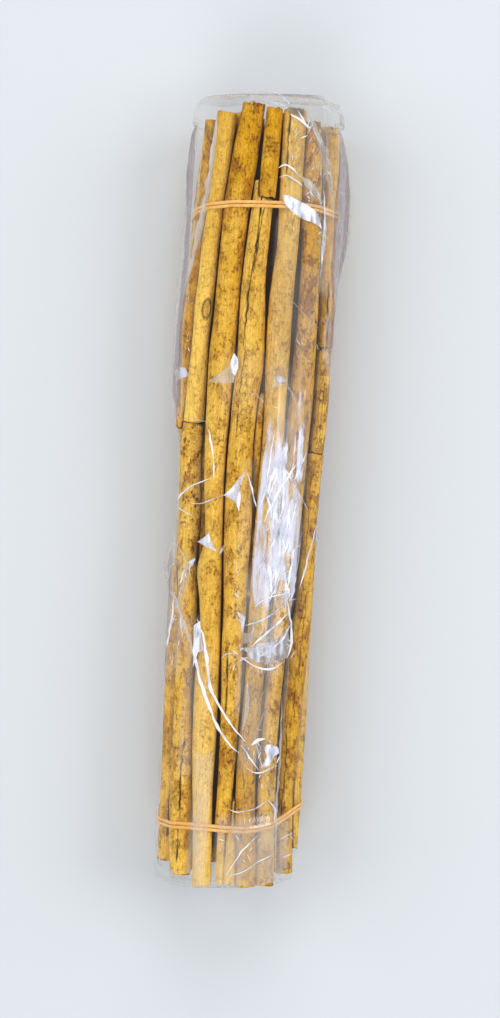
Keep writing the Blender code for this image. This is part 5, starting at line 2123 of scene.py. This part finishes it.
# --- Rubber bands ---------------------------------------------------------------------------------
def band_tree() -> bpy.types.NodeTree:
    """Builds the tree that sweeps a flat rubber strand round the bundle.

    Returns:
        A tree from a closed line to a rounded flat strand.
    """
    tree = bpy.data.node_groups.new("rubber_strand", "GeometryNodeTree")
    sockets = (("Route", "Geometry", None), ("Width", "Float", 0.0014), ("Thickness", "Float", 0.0011),
               ("Axis Height", "Float", 0.0352), ("Rubber", "Material", None))
    for name, kind, default in sockets:
        socket = tree.interface.new_socket(name, in_out="INPUT", socket_type=f"NodeSocket{kind}")
        if default is not None:
            socket.default_value = default
    tree.interface.new_socket("Band", in_out="OUTPUT", socket_type="NodeSocketGeometry")
    build = TreeBuilder(tree)
    given = build.add("NodeGroupInput").outputs
    route = build.add("GeometryNodeMeshToCurve", {"Mesh": given["Route"]}).outputs[0]
    place = build.add("GeometryNodeInputPosition").outputs[0]
    parts = build.add("ShaderNodeSeparateXYZ", {0: place}).outputs
    height = build.math("SUBTRACT", parts[2], given["Axis Height"])
    radial = build.add("ShaderNodeCombineXYZ", {0: parts[0], 1: 0.0, 2: height}).outputs[0]
    route = build.add("GeometryNodeSetCurveNormal", {"Curve": route, "Normal": radial}, mode="FREE").outputs[0]
    ring = build.add("GeometryNodeCurvePrimitiveCircle", {"Resolution": 12, "Radius": 0.5}).outputs[0]
    spot = build.add("ShaderNodeSeparateXYZ", {0: build.add("GeometryNodeInputPosition").outputs[0]}).outputs
    sized = build.add("ShaderNodeCombineXYZ", {0: build.math("MULTIPLY", spot[0], given["Thickness"]),
                                               1: build.math("MULTIPLY", spot[1], given["Width"])}).outputs[0]
    ring = build.add("GeometryNodeSetPosition", {"Geometry": ring, "Position": sized}).outputs[0]
    swept = build.add("GeometryNodeCurveToMesh", {"Curve": route, "Profile Curve": ring}).outputs[0]
    swept = build.add("GeometryNodeSetShadeSmooth", {"Geometry": swept, "Shade Smooth": True}).outputs[0]
    solid = build.add("GeometryNodeRealizeInstances", {"Geometry": swept}).outputs[0]
    dressed = build.add("GeometryNodeSetMaterial", {"Geometry": solid, "Material": given["Rubber"]}).outputs[0]
    build.add("NodeGroupOutput", {0: dressed})
    return tree


@dataclass(frozen=True)
class RubberBand:
    """A rubber band wound twice round the bundle, its turns crossing once."""

    name: str
    node: str
    station: float
    lean_x: float
    lean_z: float
    crossing: float
    spread: float = 0.0011
    sway: float = 0.0
    crossing_span: float = 24.0
    points: int = 170
    top: float = 0.0712

    def station_at(self, across: np.ndarray, height: np.ndarray) -> np.ndarray:
        """Where the band's tilted plane is.

        Args:
            across: places across the bundle.
            height: heights.

        Returns:
            Place along the bundle.
        """
        swing = self.sway * np.sin(math.pi * np.clip(across / 0.041, -1, 1)) * ease((height - 0.03) / 0.03)
        return self.station + self.lean_x * across + self.lean_z * (height - self.top) - swing

    def build(self, hull: TightHull, tree: bpy.types.NodeTree, rubber: bpy.types.Material) -> bpy.types.Object:
        """Makes the band.

        Args:
            hull: the wrap that it is stretched over.
            tree: the strand tree.
            rubber: its finish.

        Returns:
            The band as a plain mesh.
        """
        degrees = np.linspace(0, 720, 2 * self.points, endpoint=False)
        angle = np.radians((degrees + 180) % 360 - 180)
        offset = np.where((degrees > self.crossing) & (degrees <= self.crossing + 360), self.spread, -self.spread)
        lift = np.zeros(len(degrees))
        for k, swing in ((0, 1), (1, -1)):
            past = (degrees - self.crossing - 360 * k) / self.crossing_span
            near = np.abs(past) < 1
            offset[near] = swing * self.spread * (2 * ease((past[near] + 1) / 2) - 1)
            lift += (k == 0) * near * 0.0012 * ease(2 - 2 * np.abs(past))
        station = np.full(len(degrees), self.station)
        for _ in range(3):
            reach = hull.reach(station, angle) + 0.0002
            centre = np.interp(station, hull.station[::-1], hull.centre[::-1])
            x, z = centre + reach * np.sin(angle), hull.form.axis + reach * np.cos(angle)
            station = self.station_at(x, z)
        reach = reach + lift
        line = np.stack((centre + reach * np.sin(angle), station + offset,
                         np.maximum(hull.form.axis + reach * np.cos(angle), 0.0011)), axis=1)
        values = {"Width": 0.0019, "Thickness": 0.0012, "Axis Height": hull.form.axis, "Rubber": rubber}
        return made_plain(run_tree(self.name, [line], tree, values, {}, closed=True))


# --- Studio ---------------------------------------------------------------------------------------
@dataclass(frozen=True)
class Studio:
    """Plain pale floor, soft light and the camera that looks straight down."""

    camera_place: tuple[float, float, float] = (0.0026, -0.0114, 1.358)
    camera_roll: float = math.radians(3.5)
    lens: float = 79.7
    sensor: float = 36.0
    floor_half: float = 3.0
    key_place: tuple[float, float, float] = (0.608, -0.03, 0.88)
    key_aim: tuple[float, float, float] = (0.02, -0.02, 0.07)
    key_size: tuple[float, float] = (0.26, 0.30)
    key_power: float = 1.1
    panel_places: tuple[tuple[float, float, float], ...] = (
        (-1.7, 0.2, 1.55), (1.9, 0.5, 1.5), (0.1, 1.8, 1.6), (-0.2, -1.8, 1.6))
    panel_size: float = 1.6
    panel_power: float = 23.0
    world_light: float = 0.30

    def lamp(self, name: str, place: tuple, aim: tuple, size: tuple[float, float], power: float) -> bpy.types.Object:
        """Adds a softbox.

        Args:
            name: its name.
            place: where it is.
            aim: what it points at.
            size: its sides.
            power: its power in watts.

        Returns:
            The lamp.
        """
        light = bpy.data.lights.new(name, "AREA")
        light.shape = "RECTANGLE"
        light.size, light.size_y = size
        light.energy = power
        lamp = bpy.data.objects.new(name, light)
        lamp.location = place
        lamp.rotation_euler = (Vector(aim) - Vector(place)).to_track_quat("-Z", "Y").to_euler()
        bpy.context.scene.collection.objects.link(lamp)
        return lamp

    def build(self) -> bpy.types.Object:
        """Sets up floor, lights, world and camera.

        Returns:
            The floor.
        """
        half, steps = self.floor_half, 8
        line = np.linspace(-half, half, steps + 1)
        x, y = np.meshgrid(line, line, indexing="ij")
        points = np.stack((x.ravel(), y.ravel(), np.zeros(x.size)), axis=1)
        faces = []
        for i in range(steps):
            for j in range(steps):
                a = i * (steps + 1) + j
                faces.append((a, a + steps + 1, a + steps + 2, a + 1))
        floor = mesh_piece("floor", points, faces, FloorFinish("floor_paper").material())
        self.lamp("key", self.key_place, self.key_aim, self.key_size, self.key_power)
        for number, place in enumerate(self.panel_places, 1):
            size = (self.panel_size, self.panel_size)
            self.lamp(f"panel_{number}", place, (0, 0, 0), size, self.panel_power).visible_glossy = False
        scene = bpy.context.scene
        world = bpy.data.worlds.new("studio")
        world.use_nodes = True
        world.node_tree.nodes["Background"].inputs[0].default_value = (0.93, 0.96, 1.0, 1)
        world.node_tree.nodes["Background"].inputs[1].default_value = self.world_light
        scene.world = world
        scene.view_settings.view_transform = "Standard"
        lens = bpy.data.cameras.new("camera")
        lens.lens, lens.sensor_width, lens.sensor_fit = self.lens, self.sensor, "AUTO"
        camera = bpy.data.objects.new("camera", lens)
        camera.matrix_world = (Matrix.Translation(self.camera_place)
                               @ Matrix.Rotation(self.camera_roll, 4, "Z"))
        scene.collection.objects.link(camera)
        scene.camera = camera
        return floor


def main() -> None:
    """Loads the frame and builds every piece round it."""
    logging.basicConfig(level=logging.INFO, format="%(name)s: %(message)s")
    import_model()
    Studio().build()
    form = BundleForm()
    fibre = fibre_group()
    bark = BarkFinish("rolled_bark").material(fibre)
    bundle = QuillBundle(form, Roller(bark, rolled_quill_tree()))
    quills = bundle.build()
    hull = TightHull(form, bundle.routes)
    bands = (RubberBand("rubber_band_head", "band_head", 0.1630, 0.030, 0.12, 128.0),
             RubberBand("rubber_band_foot", "band_foot", -0.1946, 0.153, -0.256, 232.0, sway=0.0022))
    # Painted shade in the furrows and between the quills.
    for quill in quills:
        shade_furrows(quill, hull)
    film = FilmWrap(form, hull, FilmFinish("clear_film").material(), bands).build()
    rubber, strand = RubberFinish("tan_rubber").material(), band_tree()
    loops = [band.build(hull, strand, rubber) for band in bands]
    for pieces, slot in ((quills, "quill"), (film, "film"), (loops, "rubber_band")):
        for piece in pieces:
            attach(piece, BODY)
            LOG.info("%s: %d faces", piece.name, len(piece.data.polygons))
    for piece in quills + film:
        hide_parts("film_pack")
    for piece, band in zip(loops, bands):
        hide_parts(band.node)


if __name__ == "__main__":
    main()
